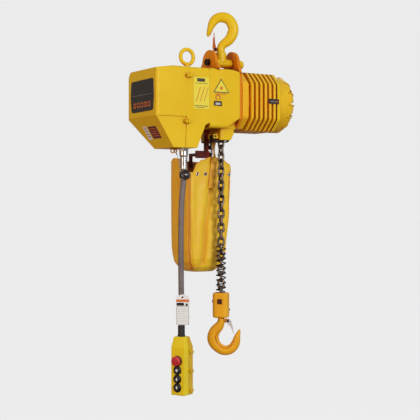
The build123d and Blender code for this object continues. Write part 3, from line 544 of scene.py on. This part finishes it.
def finish_piece(obj, material, body, slot, *nodes):
    """Dresses a piece, rides it on its body, and has it stand for the named CAD nodes."""
    if material is not None:
        obj.data.materials.clear()
        obj.data.materials.append(material)
    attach(obj, body)
    if nodes:
        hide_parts(*nodes)


dress_cad_nodes()


# ---- pendant cable ----

CABLE_ROUTE = [(-117, 0, -398), (-117, 0, -430), (-121.5, 0.2, -463), (-124.3, 0.6, -508),
               (-125, 0.9, -576), (-125, 0.5, -660), (-124, 0, -745), (-124, 0, -811)]
CABLE_D, CABLE_LENGTH = 0.015, 0.4133
PENDANT_AXIS = Vector((-0.124, 0, 0))


def smooth_line(route):
    """Points read from the NURBS spline whose control points are the route, in millimetres."""
    data = bpy.data.curves.new("route", "CURVE")
    data.dimensions = "3D"
    data.resolution_u = 24
    spline = data.splines.new("NURBS")
    spline.points.add(len(route) - 1)
    for point, place in zip(spline.points, route):
        point.co = (*(v * MM for v in place), 1)
    spline.order_u = 3
    spline.use_endpoint_u = True
    holder = bpy.data.objects.new("route", data)
    bpy.context.scene.collection.objects.link(holder)
    graph = bpy.context.evaluated_depsgraph_get()
    mesh = bpy.data.meshes.new_from_object(holder.evaluated_get(graph), depsgraph=graph)
    points = [v.co.copy() for v in mesh.vertices]
    bpy.data.objects.remove(holder)
    bpy.data.meshes.remove(mesh)
    return points


def add_cable():
    path = smooth_line(CABLE_ROUTE)
    cable = tube("pendant_cable_sheath", path, CABLE_D / 2, sides=32)
    cable.data.materials.append(MATERIALS["cable_grey"])
    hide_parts("pendant_cable")
    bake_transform(cable)
    return cable, path


TAG_TURN = -VIEW_TURN
TAG_SHIFT, TAG_FRONT, TAG_T = 0.0036, -0.0094, 0.0008


def tag_point(across, z, out=0.0):
    """A place on the tag's face, from millimetres across its middle line and height."""
    local = Vector((TAG_SHIFT + across * MM, TAG_FRONT - out, z * MM))
    return PENDANT_AXIS + Matrix.Rotation(TAG_TURN, 3, "Z") @ local


def tag_shape(outline, material, low=0.0, high=0.0002):
    """A thin printed shape on the tag, from its outline in millimetres."""
    verts = [tag_point(a, z, out) for out in (low, high) for a, z in outline]
    return slab("tag", verts, material)


def add_tag():
    """The tag: a laminated card with an arched head, an eyelet and printed bands."""
    outline = arc(0, -742, 17.5, 13.5, 0, 180) + [(-17.5, -809), (17.5, -809)]
    pieces = [tag_shape(outline, MATERIALS["tag_card"], low=-TAG_T, high=0)]
    hole = arc(-0.5, -736, 2.4, 2.4, 0, 340, 16)
    pieces.append(tag_shape(hole, INK))
    pieces.append(tag_shape(bar(-17, 17, -748.5, -742), ORANGE_INK))
    pieces.append(tag_shape(bar(-16, 3.5, -758.5, -750.5), INK))
    pieces.append(tag_shape([(6, -758.5), (15.5, -758.5), (10.5, -751)], INK))
    for z0, z1 in ((-807.5, -806.7), (-761.3, -760.5)):
        pieces.append(tag_shape(bar(-16, 16, z0, z1), GREY_INK))
    for x0, x1 in ((-16, -15.2), (15.2, 16)):
        pieces.append(tag_shape(bar(x0, x1, -807.5, -760.5), GREY_INK))
    for k, width in enumerate((24, 27, 19, 25, 22, 26)):
        z = -768 - 6.2 * k
        pieces.append(tag_shape(bar(-13.5, -13.5 + width, z, z + 0.9), PALE_INK))
    tag = join("pendant_tag", pieces)
    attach(tag, "pendant")
    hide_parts("cable_tag")
    return tag


cable, cable_path = add_cable()
tag = add_tag()


# ---- chain bag ----

BAG_Z0 = -674.0
BAG_LEFT, BAG_RIGHT, BAG_FRONT, BAG_BACK = -86.0, 55.0, 32.0, 128.0
BAG_ROWS, BAG_SIDE = 84, 46            # mesh rows, and columns on the front; the others follow
BAG_THICK = 0.0016
GUSSET_SHARE = 0.05                    # of the front, taken up by the left gusset coming round
PIPING_CLOTH = canvas("piping_orange", srgb(226, 146, 18), srgb(204, 116, 12), srgb(240, 176, 50))
# The inside of the bag: canvas painted dark orange-brown, painted shade for the shadowed inside.
INNER_CLOTH_SHADE = canvas("canvas_inside_painted_shade", srgb(196, 104, 20), srgb(164, 78, 14), srgb(214, 130, 40))


def between(value, stops):
    """Smooth interpolation through (place, value) stops."""
    if value <= stops[0][0]:
        return stops[0][1]
    for (a, va), (b, vb) in zip(stops, stops[1:]):
        if value <= b:
            t = (value - a) / (b - a)
            return va + (vb - va) * t * t * (3 - 2 * t)
    return stops[-1][1]


def ridge(distance, width):
    return exp(-(distance / width) ** 2)


def bag_plan(z):
    """Left, right, front and back of the bag at the height z: it narrows and rounds to its foot."""
    left = between(z, [(-674, -58), (-662, -72), (-645, -82), (-600, -86), (-480, -85.5), (-380, -84)])
    right = between(z, [(-674, 14), (-655, 30), (-615, 40), (-500, 50), (-420, 53), (-395, 55)])
    front = between(z, [(-674, 48), (-660, 36), (-636, 30), (-560, 29.5), (-480, 31), (-385, 32.5)])
    back = between(z, [(-674, 108), (-655, 121), (-625, 127), (-375, 127)])
    return left, right, front, back


def rim_height(side, x, y):
    if side == "front":
        return between(x, [(-86, -404), (-72, -405), (-57, -380), (-40, -370), (-12, -362), (20, -365),
                           (46, -379), (55, -400)])
    if side == "back":
        return between(-x, [(-55, -376), (10, -372), (70, -366), (86, -376)])
    if side == "left":
        return between(y, [(32, -404), (50, -386), (80, -367), (108, -364), (128, -376)])
    return between(y, [(32, -400), (60, -386), (128, -376)])


def bag_columns():
    """Where each column runs: its side, and how far along that side it is, going round once."""
    sides = (("front", BAG_SIDE), ("right", 30), ("back", BAG_SIDE), ("left", 30))
    return [(side, k / count) for side, count in sides for k in range(count)]


def corner_pull(place, low, high, corner):
    """How far a side draws in at a place near one of its rounded ends."""
    into = max(0.0, corner - min(place - low, high - place))
    return corner - sqrt(max(corner**2 - into**2, 0.0))


def bag_point(side, t, row):
    """A point of the outside of the bag, in millimetres, row running from 0 at the foot to 1."""
    wide, deep = BAG_RIGHT - BAG_LEFT, BAG_BACK - BAG_FRONT
    x_top = {"front": BAG_LEFT + t * wide, "right": BAG_RIGHT, "back": BAG_RIGHT - t * wide,
             "left": BAG_LEFT}[side]
    y_top = {"front": BAG_FRONT, "right": BAG_FRONT + t * deep, "back": BAG_BACK,
             "left": BAG_BACK - t * deep}[side]
    z = BAG_Z0 + (rim_height(side, x_top, y_top) - BAG_Z0) * row
    left, right, front, back = bag_plan(z)
    wide, deep = right - left, back - front
    corner = between(z, [(-674, 16), (-640, 12), (-500, 9), (-385, 7)])
    u = t if side in ("front", "right") else 1 - t
    if side in ("front", "back"):
        x = left + wide * u
        pull = corner_pull(x, left, right, corner)
        return Vector((x, front + pull if side == "front" else back - pull, z))
    y = front + deep * u
    pull = corner_pull(y, front, back, corner)
    return Vector((right - pull if side == "right" else left + pull, y, z))


def bag_folds(side, p, row):
    """How far the cloth stands out of its plain shape here, in millimetres."""
    slack = between(row, [(0, 0.2), (0.12, 1), (0.8, 0.9), (1, 0.35)])
    wave = noise.noise(Vector((p.x * 0.02, p.y * 0.02, p.z * 0.008))) * 2.2
    small = noise.noise(Vector((p.x * 0.07 + 9, p.y * 0.07, p.z * 0.03))) * 0.7
    out = (wave + small) * slack
    if side == "front":
        valley = between(p.z, [(-674, -38), (-560, -29), (-490, -18), (-400, -3)])
        depth = between(p.z, [(-668, 1), (-645, 9), (-560, 8.5), (-470, 7), (-405, 2.5), (-375, 0.5)])
        out -= depth * ridge(p.x - valley, 5.5)
        out += 2.6 * slack * ridge(p.x - valley - 24, 14) + 3.0 * slack * ridge(p.x - valley + 20, 11)
        seam = between(p.z, [(-674, -62), (-655, -70), (-630, -75), (-385, -78)])
        out -= 4.2 * between(p.z, [(-668, 0), (-640, 1), (-410, 0.7), (-390, 0)]) * ridge(p.x - seam, 2.6)
        out += 1.8 * slack * ridge(p.x - seam - 8, 5)
        out += 2.0 * ridge(p.x - 26, 7) * between(p.z, [(-640, 0), (-560, 1), (-430, 1), (-395, 0)])
        crease = between(p.z, [(-475, 0), (-440, 1), (-412, 0.2)])
        out -= 3.8 * ridge(p.x - 1 - (p.z + 430) * 0.5, 3.4) * crease
        out += 1.6 * ridge(p.z + 657 + p.x * 0.08, 6)
    if side == "left":
        middle = 84 + (p.z + 500) * 0.03
        out -= between(p.z, [(-665, 1), (-600, 3.5), (-420, 6), (-380, 6)]) * ridge(p.y - middle, 11)
        out += 0.8 * slack * ridge(p.y - middle - 24, 10) + 1.6 * slack * ridge(p.y - middle + 26, 12)
    if side in ("right", "back"):
        span = p.y - 80 if side == "right" else p.x + 14
        out -= 4 * slack * ridge(span, 12)
        out += 1.2 * slack * ridge(abs(span) - 28, 12)
    return out


SIDE_OUT = {"front": (0, -1), "right": (1, 0), "back": (0, 1), "left": (-1, 0)}
CORNER_SHARE = 0.10                    # of a side, over which its folds die away into the corner
HEM_ROW, HEM_OUT = 0.965, 0.9          # where the hem starts, and how far it stands out


def cloth_point(side, t, row, lift):
    """A place on the folded cloth, in metres, standing lift millimetres off it."""
    p = bag_point(side, t, row)
    out = bag_folds(side, p, row) * min(min(t, 1 - t) / CORNER_SHARE, 1.0) + lift
    dx, dy = SIDE_OUT[side]
    return Vector(((p.x + dx * out) * MM, (p.y + dy * out) * MM, p.z * MM))


def surface_line(side, t, rows, lift):
    """A line up one side of the bag, following its folds."""
    return [cloth_point(side, t, row, lift) for row in rows]


def add_bag():
    """The chain bag: an open sewn shell of coated canvas that sags and creases under its load."""
    columns = bag_columns()
    verts = []
    for r in range(BAG_ROWS + 1):
        row = r / BAG_ROWS
        lift = HEM_OUT if row > HEM_ROW else 0.0
        verts += [cloth_point(side, t, row, lift) for side, t in columns]
    n = len(columns)
    faces = band_faces(BAG_ROWS + 1, n)
    foot = sum(verts[:n], Vector()) / n
    inner = len(verts)
    verts += [foot.lerp(v, 0.55) + Vector((0, 0, -0.0012)) for v in verts[:n]]
    verts.append(foot + Vector((0, 0, -0.0016)))
    for k in range(n):
        m = (k + 1) % n
        faces.append((k, inner + k, inner + m, m))
        faces.append((inner + k, inner + n, inner + m))
    bag = new_object("chain_bag_shell", verts, faces)
    for material in (MATERIALS["bag_fabric"], GUSSET_CLOTH_SHADE, INNER_CLOTH_SHADE, INNER_CLOTH_SHADE):
        bag.data.materials.append(material)
    for r in range(BAG_ROWS):
        for k, (side, t) in enumerate(columns):
            # the sides, and the gusset's turn onto the front, take the painted shade canvas
            if side in ("left", "right") or (side == "front" and t < GUSSET_SHARE):
                bag.data.polygons[r * n + k].material_index = 1
    # the solidified inner faces take the inside's painted shade canvas
    modifier(bag, "SOLIDIFY", thickness=BAG_THICK, offset=-1, material_offset=2)
    modifier(bag, "SUBSURF", levels=1, render_levels=1)
    apply_modifiers(bag)
    for polygon in bag.data.polygons:
        polygon.use_smooth = True
    finish_piece(bag, None, "hoist", "bag_fabric", "chain_bag")


def add_bag_seams():
    """Corded seams up the bag's corners, and a rolled hem round its mouth."""
    rows = [0.03 + 0.955 * k / 70 for k in range(71)]
    seams = [dressed(tube("seam", surface_line(side, 0.012, rows, 0.2), 0.0013, sides=8), SEAM_CLOTH)
             for side in SIDE_OUT]
    for t in (0.035, 0.062):
        piping = tube("piping", surface_line("front", t, rows, -0.1), 0.0011, sides=8)
        seams.append(dressed(piping, PIPING_CLOTH))
    hem = []
    for side, t in bag_columns():
        hem += surface_line(side, t, [0.995], 0.2)
    rim = dressed(tube("hem", hem, 0.0017, sides=8, closed=True), SEAM_CLOTH)
    finish_piece(join("chain_bag_seams", [*seams, rim]), None, "hoist", "bag_fabric")


GROMMETS_X, GROMMETS_Z = (-57, -31, 48), -409


def add_grommets():
    """Plated eyelets along the bag's mouth, each a rolled ring round a black disc, painted shade where the
    hole shows the dim inside.
    """
    rings = []
    for x in GROMMETS_X:
        t = (x - BAG_LEFT) / (BAG_RIGHT - BAG_LEFT)
        row = (GROMMETS_Z - BAG_Z0) / (rim_height("front", x, BAG_FRONT) - BAG_Z0)
        at = surface_line("front", t, [row], 1.1)[0]
        ring = tube("ring", ring_points(at, 0.0036, (0, 1, 0), 28), 0.0011, sides=10, closed=True)
        dressed(ring, MATERIALS["zinc"])
        # a black disc in each ring: painted shade for the dark hole
        hole = plate("hole", arc(0, 0, 0.0029, 0.0029, 0, 340, 17), 0.0003, at, (1, 0, 0), (0, 0, 1), bevel=0)
        rings += [ring, dressed(hole, INK)]
    finish_piece(join("bag_grommets", rings), None, "hoist", "zinc")


STRAP_ROUTE = [(-5, 28.6, -320), (-6, 28.2, -336), (-3, 27.6, -356), (-6, 27.4, -378), (-9, 28.0, -402),
               (-12, 29.2, -424), (-14, 30.4, -444)]
STRAP_HALF, STRAP_THICK = 0.0088, 0.0009
STRAP_SECTION = [(-1, -1), (-0.5, -1.15), (0.5, -1.15), (1, -1), (1, 1), (0.5, 1.15), (-0.5, 1.15), (-1, 1)]


def add_strap():
    """A flat webbing strap that twists on its way from the chain guide to the bag's front."""
    route = smooth_line(STRAP_ROUTE)
    count = len(route)
    verts = []
    for i, p in enumerate(route):
        s = i / (count - 1)
        twist = 0.75 * sin(2 * pi * 1.15 * s) * (1 - s) ** 0.35 + 0.12
        half = STRAP_HALF * (1 - 0.12 * sin(2 * pi * s) ** 2)
        wide = Vector((cos(twist), sin(twist) * 0.9, 0))
        thick = Vector((-sin(twist), cos(twist), 0)) * STRAP_THICK
        verts += [p + wide * (half * a) + thick * b for a, b in STRAP_SECTION]
    sides = len(STRAP_SECTION)
    strap = new_object("strap", verts, band_faces(count, sides) + flipped(end_caps(count, sides)))
    modifier(strap, "SUBSURF", levels=1, render_levels=1)
    apply_modifiers(strap)
    patch = plate("patch", rounded_rect(0.017, 0.013, 0.002), 0.0012, (-0.0142, 0.0296, -0.441),
                  (1, 0.03, 0), (0.05, 0, 1), bevel=0.0003)
    finish_piece(join("bag_strap_web", [strap, patch]), SEAM_CLOTH, "hoist", "bag_fabric", "bag_strap")


LINK_WIRE, LINK_HALF, LINK_RUN = 3.05, 7.1, 5.55


def link_mesh(at, along, side):
    """One welded link as a closed tube, with along its long way and side its short way."""
    path = []
    for end in (1, -1):
        for k in range(13):
            a = radians(15 * k)
            height, across = LINK_HALF * sin(a) + LINK_RUN, LINK_HALF * cos(a)
            path.append(at + (along * (end * height) + side * (end * across)) * MM)
    return tube("link", path, LINK_WIRE * MM, sides=10, closed=True)


STORED_LINKS, LINKS_A_TURN = 112, 13.6


def add_stored_chain():
    """The rest of the chain, laid down in loops that fill the foot of the bag."""
    links = []
    for k in range(STORED_LINKS):
        turn = 2 * pi * k / LINKS_A_TURN
        level = k / STORED_LINKS
        reach = 0.62 + 0.38 * sin(k * 1.7) ** 2
        at = Vector((-21 + 34 * reach * cos(turn), 77 + 22 * reach * sin(turn),
                     -648 + 72 * level + 5 * sin(k * 2.3)))
        along = Vector((-sin(turn), cos(turn), 0.25 * sin(k * 1.1))).normalized()
        flat = along.cross(Vector((0, 0, 1))).normalized()
        side = flat if k % 2 else along.cross(flat)
        links.append(link_mesh(at * MM, along, side))
    finish_piece(join("stored_chain_links", links), MATERIALS["chain_steel"], "hoist", "chain_steel",
                 "stored_chain")


add_bag()
add_bag_seams()
add_grommets()
add_strap()
add_stored_chain()


# ---- labels ----

FRONT_Y = -0.045                       # the hoist's front face
BOX_END_X = -0.224                     # the control box's end face
RIB_Y = -0.05129                       # the front of the motor's ribs
FILM_T = 0.0003


def decal(name, outline, material, at, right, up, thickness):
    return dressed(plate(name, outline, thickness, at, right, up, bevel=0), material)


def to_metres(outline):
    return [(a * MM, b * MM) for a, b in outline]


def front_shape(outline, material, level):
    """A shape on the front face, in millimetres, with level counting the layers of film under it."""
    return decal("film", to_metres(outline), material, (0, FRONT_Y - 0.0005 - 0.00018 * level, 0), (1, 0, 0),
                 (0, 0, 1), FILM_T)


def shifted(outline, x, z):
    return [(a / MM + x, b / MM + z) for a, b in outline]


def add_front_labels():
    """Printed films with plain generic shapes: a striped panel, a triangle, a ring and a box."""
    film = MATERIALS["label_film"]
    panel = [front_shape(shifted(rounded_rect(0.0485, 0.084, 0.002), -90.2, -200), film, 0)]
    panel.append(front_shape(bar(-103, -79, -170, -161.5), INK, 1))
    for k in range(3):
        panel.append(front_shape(bar(-99 + 7 * k, -96.5 + 7 * k, -166.6, -164.6), GREY_INK, 2))
    panel.append(front_shape(bar(-110, -70, -175.3, -174), GREEN_INK, 1))
    for k in range(3):
        x = -107 + 12 * k
        stroke = [(x, -222), (x + 2.2, -222), (x + 15.2, -184), (x + 13, -184)]
        panel.append(front_shape(stroke, ORANGE_INK, 1))
    panel.append(front_shape(bar(-112, -69, -234.5, -232.5), GREEN_INK, 1))
    panel.append(front_shape(bar(-108, -80, -238.5, -237), GREEN_INK, 1))
    triangle = [front_shape([(-52.5, -195.5), (-3, -195.5), (-28, -158)], GREEN_INK, 0)]
    triangle.append(front_shape([(-48.5, -193.2), (-7, -193.2), (-28, -162.5)], film, 1))
    triangle.append(front_shape(arc(-28, -183.5, 4.5, 4.5, 0, 345, 20), ORANGE_INK, 2))
    triangle.append(front_shape(bar(-46, -12, -199.5, -198), ORANGE_INK, 0))
    outer, inner = (arc(-38, -208.5, r, r, -62, 242, 28) for r in (8, 5.2))
    ring = front_shape(outer + list(reversed(inner)), ORANGE_INK, 0)
    box = [front_shape(shifted(rounded_rect(0.025, 0.0125, 0.0015), -38.5, -224.5), INK, 0)]
    box.append(front_shape(bar(-46, -31, -228, -222.5), PALE_INK, 1))
    finish_piece(join("front_labels", [*panel, *triangle, ring, *box]), None, "hoist", "label_film",
                 "label_plates")


def add_capacity_plate():
    """Black rating plate on the end of the control box, with plain boxes in place of any print."""
    def shape(outline, material, out, thick=FILM_T):
        points = to_metres((-y, z) for y, z in outline)
        return decal("plate", points, material, (BOX_END_X - out, 0, 0), (0, -1, 0), (0, 0, 1), thick)

    outline = [*arc(84, -175, 8, 8, 90, 0, 5), (95, -207), *arc(82, -241, 9, 9, 0, -90, 5),
               *arc(-20, -241, 8, 8, -90, -180, 5), (-31, -207), *arc(-21, -174, 8, 8, 180, 90, 5)]
    back = shape(outline, GLOSS_BLACK, -0.0002, 0.0014)
    modifier(back, "BEVEL", width=0.0007, segments=3, limit_method="ANGLE")
    apply_modifiers(back)
    pieces = [back, shape(bar(-20, 84, -206.4, -205.2), GREY_INK, 0.0012)]
    for k in range(5):
        y0 = -14 + 19.5 * k
        pieces.append(shape(bar(y0, y0 + 13, -238, -225), ORANGE_INK, 0.0012))
        pieces.append(shape(bar(y0 + 2.6, y0 + 10.4, -235.4, -227.6), INK, 0.0014))
    finish_piece(join("capacity_plate", pieces), None, "hoist", "label_film")


def add_underside_labels():
    """Two small plates on the slanted underside of the control box."""
    down = Vector((51, 0, -81)).normalized()
    out = Vector((-81, 0, -51)).normalized()
    start = Vector((BOX_END_X, 0, -0.263))

    def shape(y0, y1, a0, a1, material, level):
        at = start + out * (0.0002 + 0.00025 * level)
        points = to_metres([(y0, a0), (y0, a1), (y1, a1), (y1, a0)])
        verts = [at + Vector((0, y, 0)) + down * a + out * h for h in (0, FILM_T) for y, a in points]
        return slab("film", verts, material)

    pieces = [shape(-10, 32, 30, 66, MAROON_INK, 0), shape(38, 58, 28, 68, MATERIALS["tag_card"], 0)]
    for k in range(4):
        pieces.append(shape(-5, 27 - 4 * (k % 2), 36 + 7 * k, 38 + 7 * k, ORANGE_INK, 1))
        pieces.append(shape(41, 55, 34 + 8 * k, 36 + 8 * k, GREY_INK, 1))
    finish_piece(join("underside_labels", pieces), None, "hoist", "label_film")


def add_badge():
    """Small dark badge across the motor's ribs."""
    def shape(outline, material, out, thick):
        return decal("badge", to_metres(outline), material, (0, RIB_Y - out, 0), (1, 0, 0), (0, 0, 1), thick)

    pieces = [shape(bar(121, 155, -217.5, -204), INK, 0, 0.0008)]
    marks = [(126 + 6.5 * k, 4.5, GREY_INK) for k in range(3)] + [(146.5, 4, ORANGE_INK)]
    pieces += [shape(bar(x, x + width, -212.6, -209), ink, 0.001, FILM_T) for x, width, ink in marks]
    finish_piece(join("motor_badge", pieces), None, "hoist", "label_film")


add_front_labels()
add_capacity_plate()
add_underside_labels()
add_badge()


# ---- clamp, knob, wire and eye ----

def lathe(name, profile, at, axis, side, steps=48):
    """A turned piece: (radius, height) points in millimetres, swept round axis from at."""
    axis, side = Vector(axis).normalized(), Vector(side).normalized()
    other = axis.cross(side)
    verts = []
    for r, h in to_metres(profile):
        for k in range(steps):
            a = 2 * pi * k / steps
            verts.append(Vector(at) + axis * h + side * (r * cos(a)) + other * (r * sin(a)))
    rings = len(profile)
    return new_object(name, verts, band_faces(rings, steps) + end_caps(rings, steps))


CLAMP_AT = Vector((-0.117, 0, -0.414))
KNOB_SHIFT = 0.006
WIRE_ROUTE = [(-142, 0, -354.5), (-138.5, -0.3, -357.5), (-134, -0.2, -371), (-129.5, 0, -388),
              (-127.2, 0, -407)]
KNOB = [(4, 6.5), (9.7, 7), (12.4, 9.6), (13, 11), (13, 16), (12.3, 17.8), (11, 18.6), (9.6, 18.4),
        (8.9, 17.2), (7.6, 17), (4.2, 17.2), (3.7, 18.2), (2.9, 18.6), (0.4, 18.7)]
WIRE_R, SLEEVE_R, SLEEVE_SPAN = 0.00085, 0.0017, slice(8, 26)


def add_strain_relief():
    """The clamp with its knob, the eye under the box, and the wire that takes the cable's weight."""
    to_view = -LOOK
    at = CLAMP_AT + ACROSS * KNOB_SHIFT
    black = MATERIALS["black_plastic"]
    knob = dressed(lathe("knob", KNOB, at, to_view, ACROSS), black)
    profile = [(7.7, -8), (11, -8), (11.6, -7.2), (11.6, 7.2), (11, 8), (7.7, 8)]
    ring = dressed(lathe("ring", profile, CLAMP_AT, (0, 0, 1), (1, 0, 0)), black)
    profile = [(2.4, 17), (2.4, 18.9), (1.9, 19.3), (0.3, 19.3)]
    screw = dressed(lathe("screw", profile, at, to_view, ACROSS), MATERIALS["zinc"])
    finish_piece(join("clamp_knob", [knob, ring, screw]), None, "hoist", "black_plastic", "strain_relief")
    base = plate("base", rounded_rect(0.022, 0.010, 0.002), 0.0026, (-0.148, 0, -0.344), (1, 0, 0),
                 (0, -1, 0), 0.0004)
    eyes = [tube("eye", ring_points((x, 0, -0.351), r, (0, 1, 0), count), wire_r, sides=12, closed=True)
            for x, r, count, wire_r in ((-0.151, 0.0050, 32, 0.0017), (-0.1418, 0.0036, 28, 0.0016))]
    finish_piece(join("wire_eye", [base, *eyes]), GOLD_PAINT, "hoist", "black_plastic")
    path = smooth_line(WIRE_ROUTE)
    wire = tube("wire", path, WIRE_R, sides=8)
    sleeve = tube("sleeve", path[SLEEVE_SPAN], SLEEVE_R, sides=12)
    finish_piece(join("strain_wire", [wire, sleeve]), MATERIALS["bare_steel"], "hoist", "bare_steel")


add_strain_relief()


# ---- load hook's forged ridges ----

RIDGE_ROUTE = [(-6.5, 0, -821), (-17, 0, -834), (-21.5, 0, -851), (-15.5, 0, -869), (-2, 0, -881),
               (13, 0, -885.3), (28, 0, -880.5), (38.5, 0, -868), (42, 0, -857)]
RIDGE_IN, RIDGE_R = 0.0058, 0.0013    # how far inside the bowl's middle line it runs, and its radius
BOWL_MIDDLE = Vector((0.011, 0, -0.852))
HOOK_TURN = Matrix.Rotation(-VIEW_TURN, 3, "Z")


def add_hook_ridges():
    """A low forged ridge on each face of the load hook, following the inside of its bowl, painted darker
    orange as shade along it.
    """
    hook = frame["nodes"]["lower_hook"]
    to_hook = hook.matrix_world.inverted()
    route = smooth_line(RIDGE_ROUTE)
    ridges = []
    for face in (-1, 1):
        out = HOOK_TURN @ Vector((0, face, 0))
        points = []
        for p in route:
            p = HOOK_TURN @ (p + (BOWL_MIDDLE - p).normalized() * RIDGE_IN) + out * 0.04
            found, place, *_ = hook.ray_cast(to_hook @ p, to_hook.to_3x3() @ -out)
            if found:
                points.append(hook.matrix_world @ place - out * 0.0002)
        last = len(points) - 1
        radii = [RIDGE_R * (0.25 + 0.75 * min(1, 6 * min(k, last - k) / last)) for k in range(last + 1)]
        ridges.append(tube("ridge", points, RIDGE_R, sides=10, radii=radii))
    finish_piece(join("hook_ridges", ridges), RIDGE_SHADE_ORANGE, "lower_hook", "orange_paint")


add_hook_ridges()


# ---- pendant details ----

PENDANT_TURN = radians(-65)
PRESS_DIR = Vector((-sin(PENDANT_TURN), cos(PENDANT_TURN), 0))
FACE_Y, BUTTON_RISE = -18.0, 4.5       # the front shell's face, and how far the buttons stand out of it


def on_pendant(x, y, z):
    local = Vector((x * MM, y * MM, z * MM))
    return PENDANT_AXIS + Matrix.Rotation(PENDANT_TURN, 3, "Z") @ local


PENDANT_SIDE = Matrix.Rotation(PENDANT_TURN, 3, "Z") @ Vector((1, 0, 0))
BUTTONS = {"button_start": -927.5, "button_up": -950.5, "button_down": -973.5}
STOP_Z = -903.0


def add_collars():
    """Black guard rings round the buttons, and a skirt under the stop button."""
    rings = []
    for z in BUTTONS.values():
        profile = [(10.7, 0.05), (10.7, 2.2), (11.0, 2.8), (11.7, 2.6), (12.2, 1.4), (12.3, 0.05)]
        rings.append(lathe("collar", profile, on_pendant(0, FACE_Y, z), -PRESS_DIR, PENDANT_SIDE))
    profile = [(8.3, 0.05), (8.3, 0.22), (9.2, 0.3), (13.4, 0.3), (13.9, 0.22), (14.1, 0.05)]
    rings.append(lathe("collar", profile, on_pendant(0, FACE_Y, STOP_Z), -PRESS_DIR, PENDANT_SIDE))
    finish_piece(join("button_collars", rings), MATERIALS["black_plastic"], "pendant", "black_plastic")


ARROW = [(-4, -1.5), (0, 3.8), (4, -1.5), (1.4, -1.5), (1.4, -4.6), (-1.4, -4.6), (-1.4, -1.5)]


def add_marks():
    """Pale generic marks on the black buttons: a dot, and an arrow each way."""
    head = FACE_Y - BUTTON_RISE
    arrows = {"button_up": 1, "button_down": -1}
    for name, z in BUTTONS.items():
        if name in arrows:
            outline = [(a, b * arrows[name]) for a, b in ARROW]
        else:
            outline = arc(0, 0, 3.6, 3.6, 0, 345, 22)
        if name == "button_down":
            outline = list(reversed(outline))
        mark = decal("mark", to_metres(outline), MATERIALS["tag_card"],
                     on_pendant(0, head, z), PENDANT_SIDE, (0, 0, 1), 0.0004)
        finish_piece(join(name + "_mark", [mark]), None, name, "tag_card")


add_collars()
add_marks()


# ---- stage ----

PALE = 0.831                           # linear value of the plain pale background
AMBIENT_LOW, AMBIENT_HIGH = 0.20, 0.44
FLOOR_DROP, FLOOR_HALF = 0.08, 60


def add_floor():
    """A pale floor that glows as bright as the background and takes only a faint shade."""
    low, half = cad_box[0][2] - FLOOR_DROP, FLOOR_HALF
    corners = [(x, y, low) for x, y in bar(-half, half, -half, half)]
    floor = new_object("floor", corners, [(0, 1, 2, 3)], smooth=False)
    material, _, shader, _ = start_material("floor_pale", Roughness=1.0, Specular_IOR_Level=0.0)
    shader.inputs["Base Color"].default_value = (0.03, 0.03, 0.03, 1)
    shader.inputs["Emission Color"].default_value = (1, 1, 1, 1)
    shader.inputs["Emission Strength"].default_value = PALE - 0.012
    floor.data.materials.append(material)
    floor.visible_diffuse = False
    floor.visible_glossy = False


def add_world():
    """Bright to the camera, dimmer as light, and dimmer still from below and from the left."""
    world = bpy.data.worlds.new("studio")
    bpy.context.scene.world = world
    world.use_nodes = True
    tree = world.node_tree
    background = tree.nodes["Background"]
    rays = tree.nodes.new("ShaderNodeLightPath")
    direction = tree.nodes.new("ShaderNodeTexCoord").outputs["Generated"]
    lean = tree.nodes.new("ShaderNodeVectorMath")
    lean.operation = "DOT_PRODUCT"
    lean.inputs[1].default_value = (0.35, -0.25, 0.9)
    tree.links.new(direction, lean.inputs[0])
    glow = tree.nodes.new("ShaderNodeMapRange")
    glow.inputs["From Min"].default_value = -0.9
    glow.inputs["From Max"].default_value = 0.9
    glow.inputs["To Min"].default_value = AMBIENT_LOW
    glow.inputs["To Max"].default_value = AMBIENT_HIGH
    tree.links.new(lean.outputs["Value"], glow.inputs["Value"])
    stops = [(AMBIENT_LOW, (1, 0.56, 0.38, 1)), (AMBIENT_HIGH * 0.8, (1, 1, 1, 1))]
    warmth = ramp(tree, glow.outputs["Result"], stops)
    tint = mix(tree, rays.outputs["Is Camera Ray"], warmth, (1, 1, 1, 1))
    tree.links.new(tint, background.inputs["Color"])
    strength = tree.nodes.new("ShaderNodeMix")
    tree.links.new(rays.outputs["Is Camera Ray"], strength.inputs[0])
    tree.links.new(glow.outputs["Result"], strength.inputs[2])
    strength.inputs[3].default_value = PALE
    tree.links.new(strength.outputs[0], background.inputs["Strength"])


def add_light(name, at, target, size, power, colour=(1, 1, 1)):
    data = bpy.data.lights.new(name, "AREA")
    data.size = size
    data.energy = power
    data.color = colour
    light = bpy.data.objects.new(name, data)
    light.location = at
    light.rotation_euler = (Vector(target) - Vector(at)).to_track_quat("-Z", "Y").to_euler()
    bpy.context.scene.collection.objects.link(light)


def add_lights():
    middle = (0, 0, -0.45)
    add_light("key", (0.3, -4.7, 0.7), middle, 1.6, 108, (1, 0.99, 0.97))
    add_light("side", (-2.8, -0.9, -0.2), middle, 1.6, 27, (1, 0.76, 0.5))
    add_light("back", (1.6, 2.2, 1.0), middle, 1.6, 10)


add_floor()
add_world()
add_lights()
bpy.context.scene.view_settings.view_transform = "Standard"
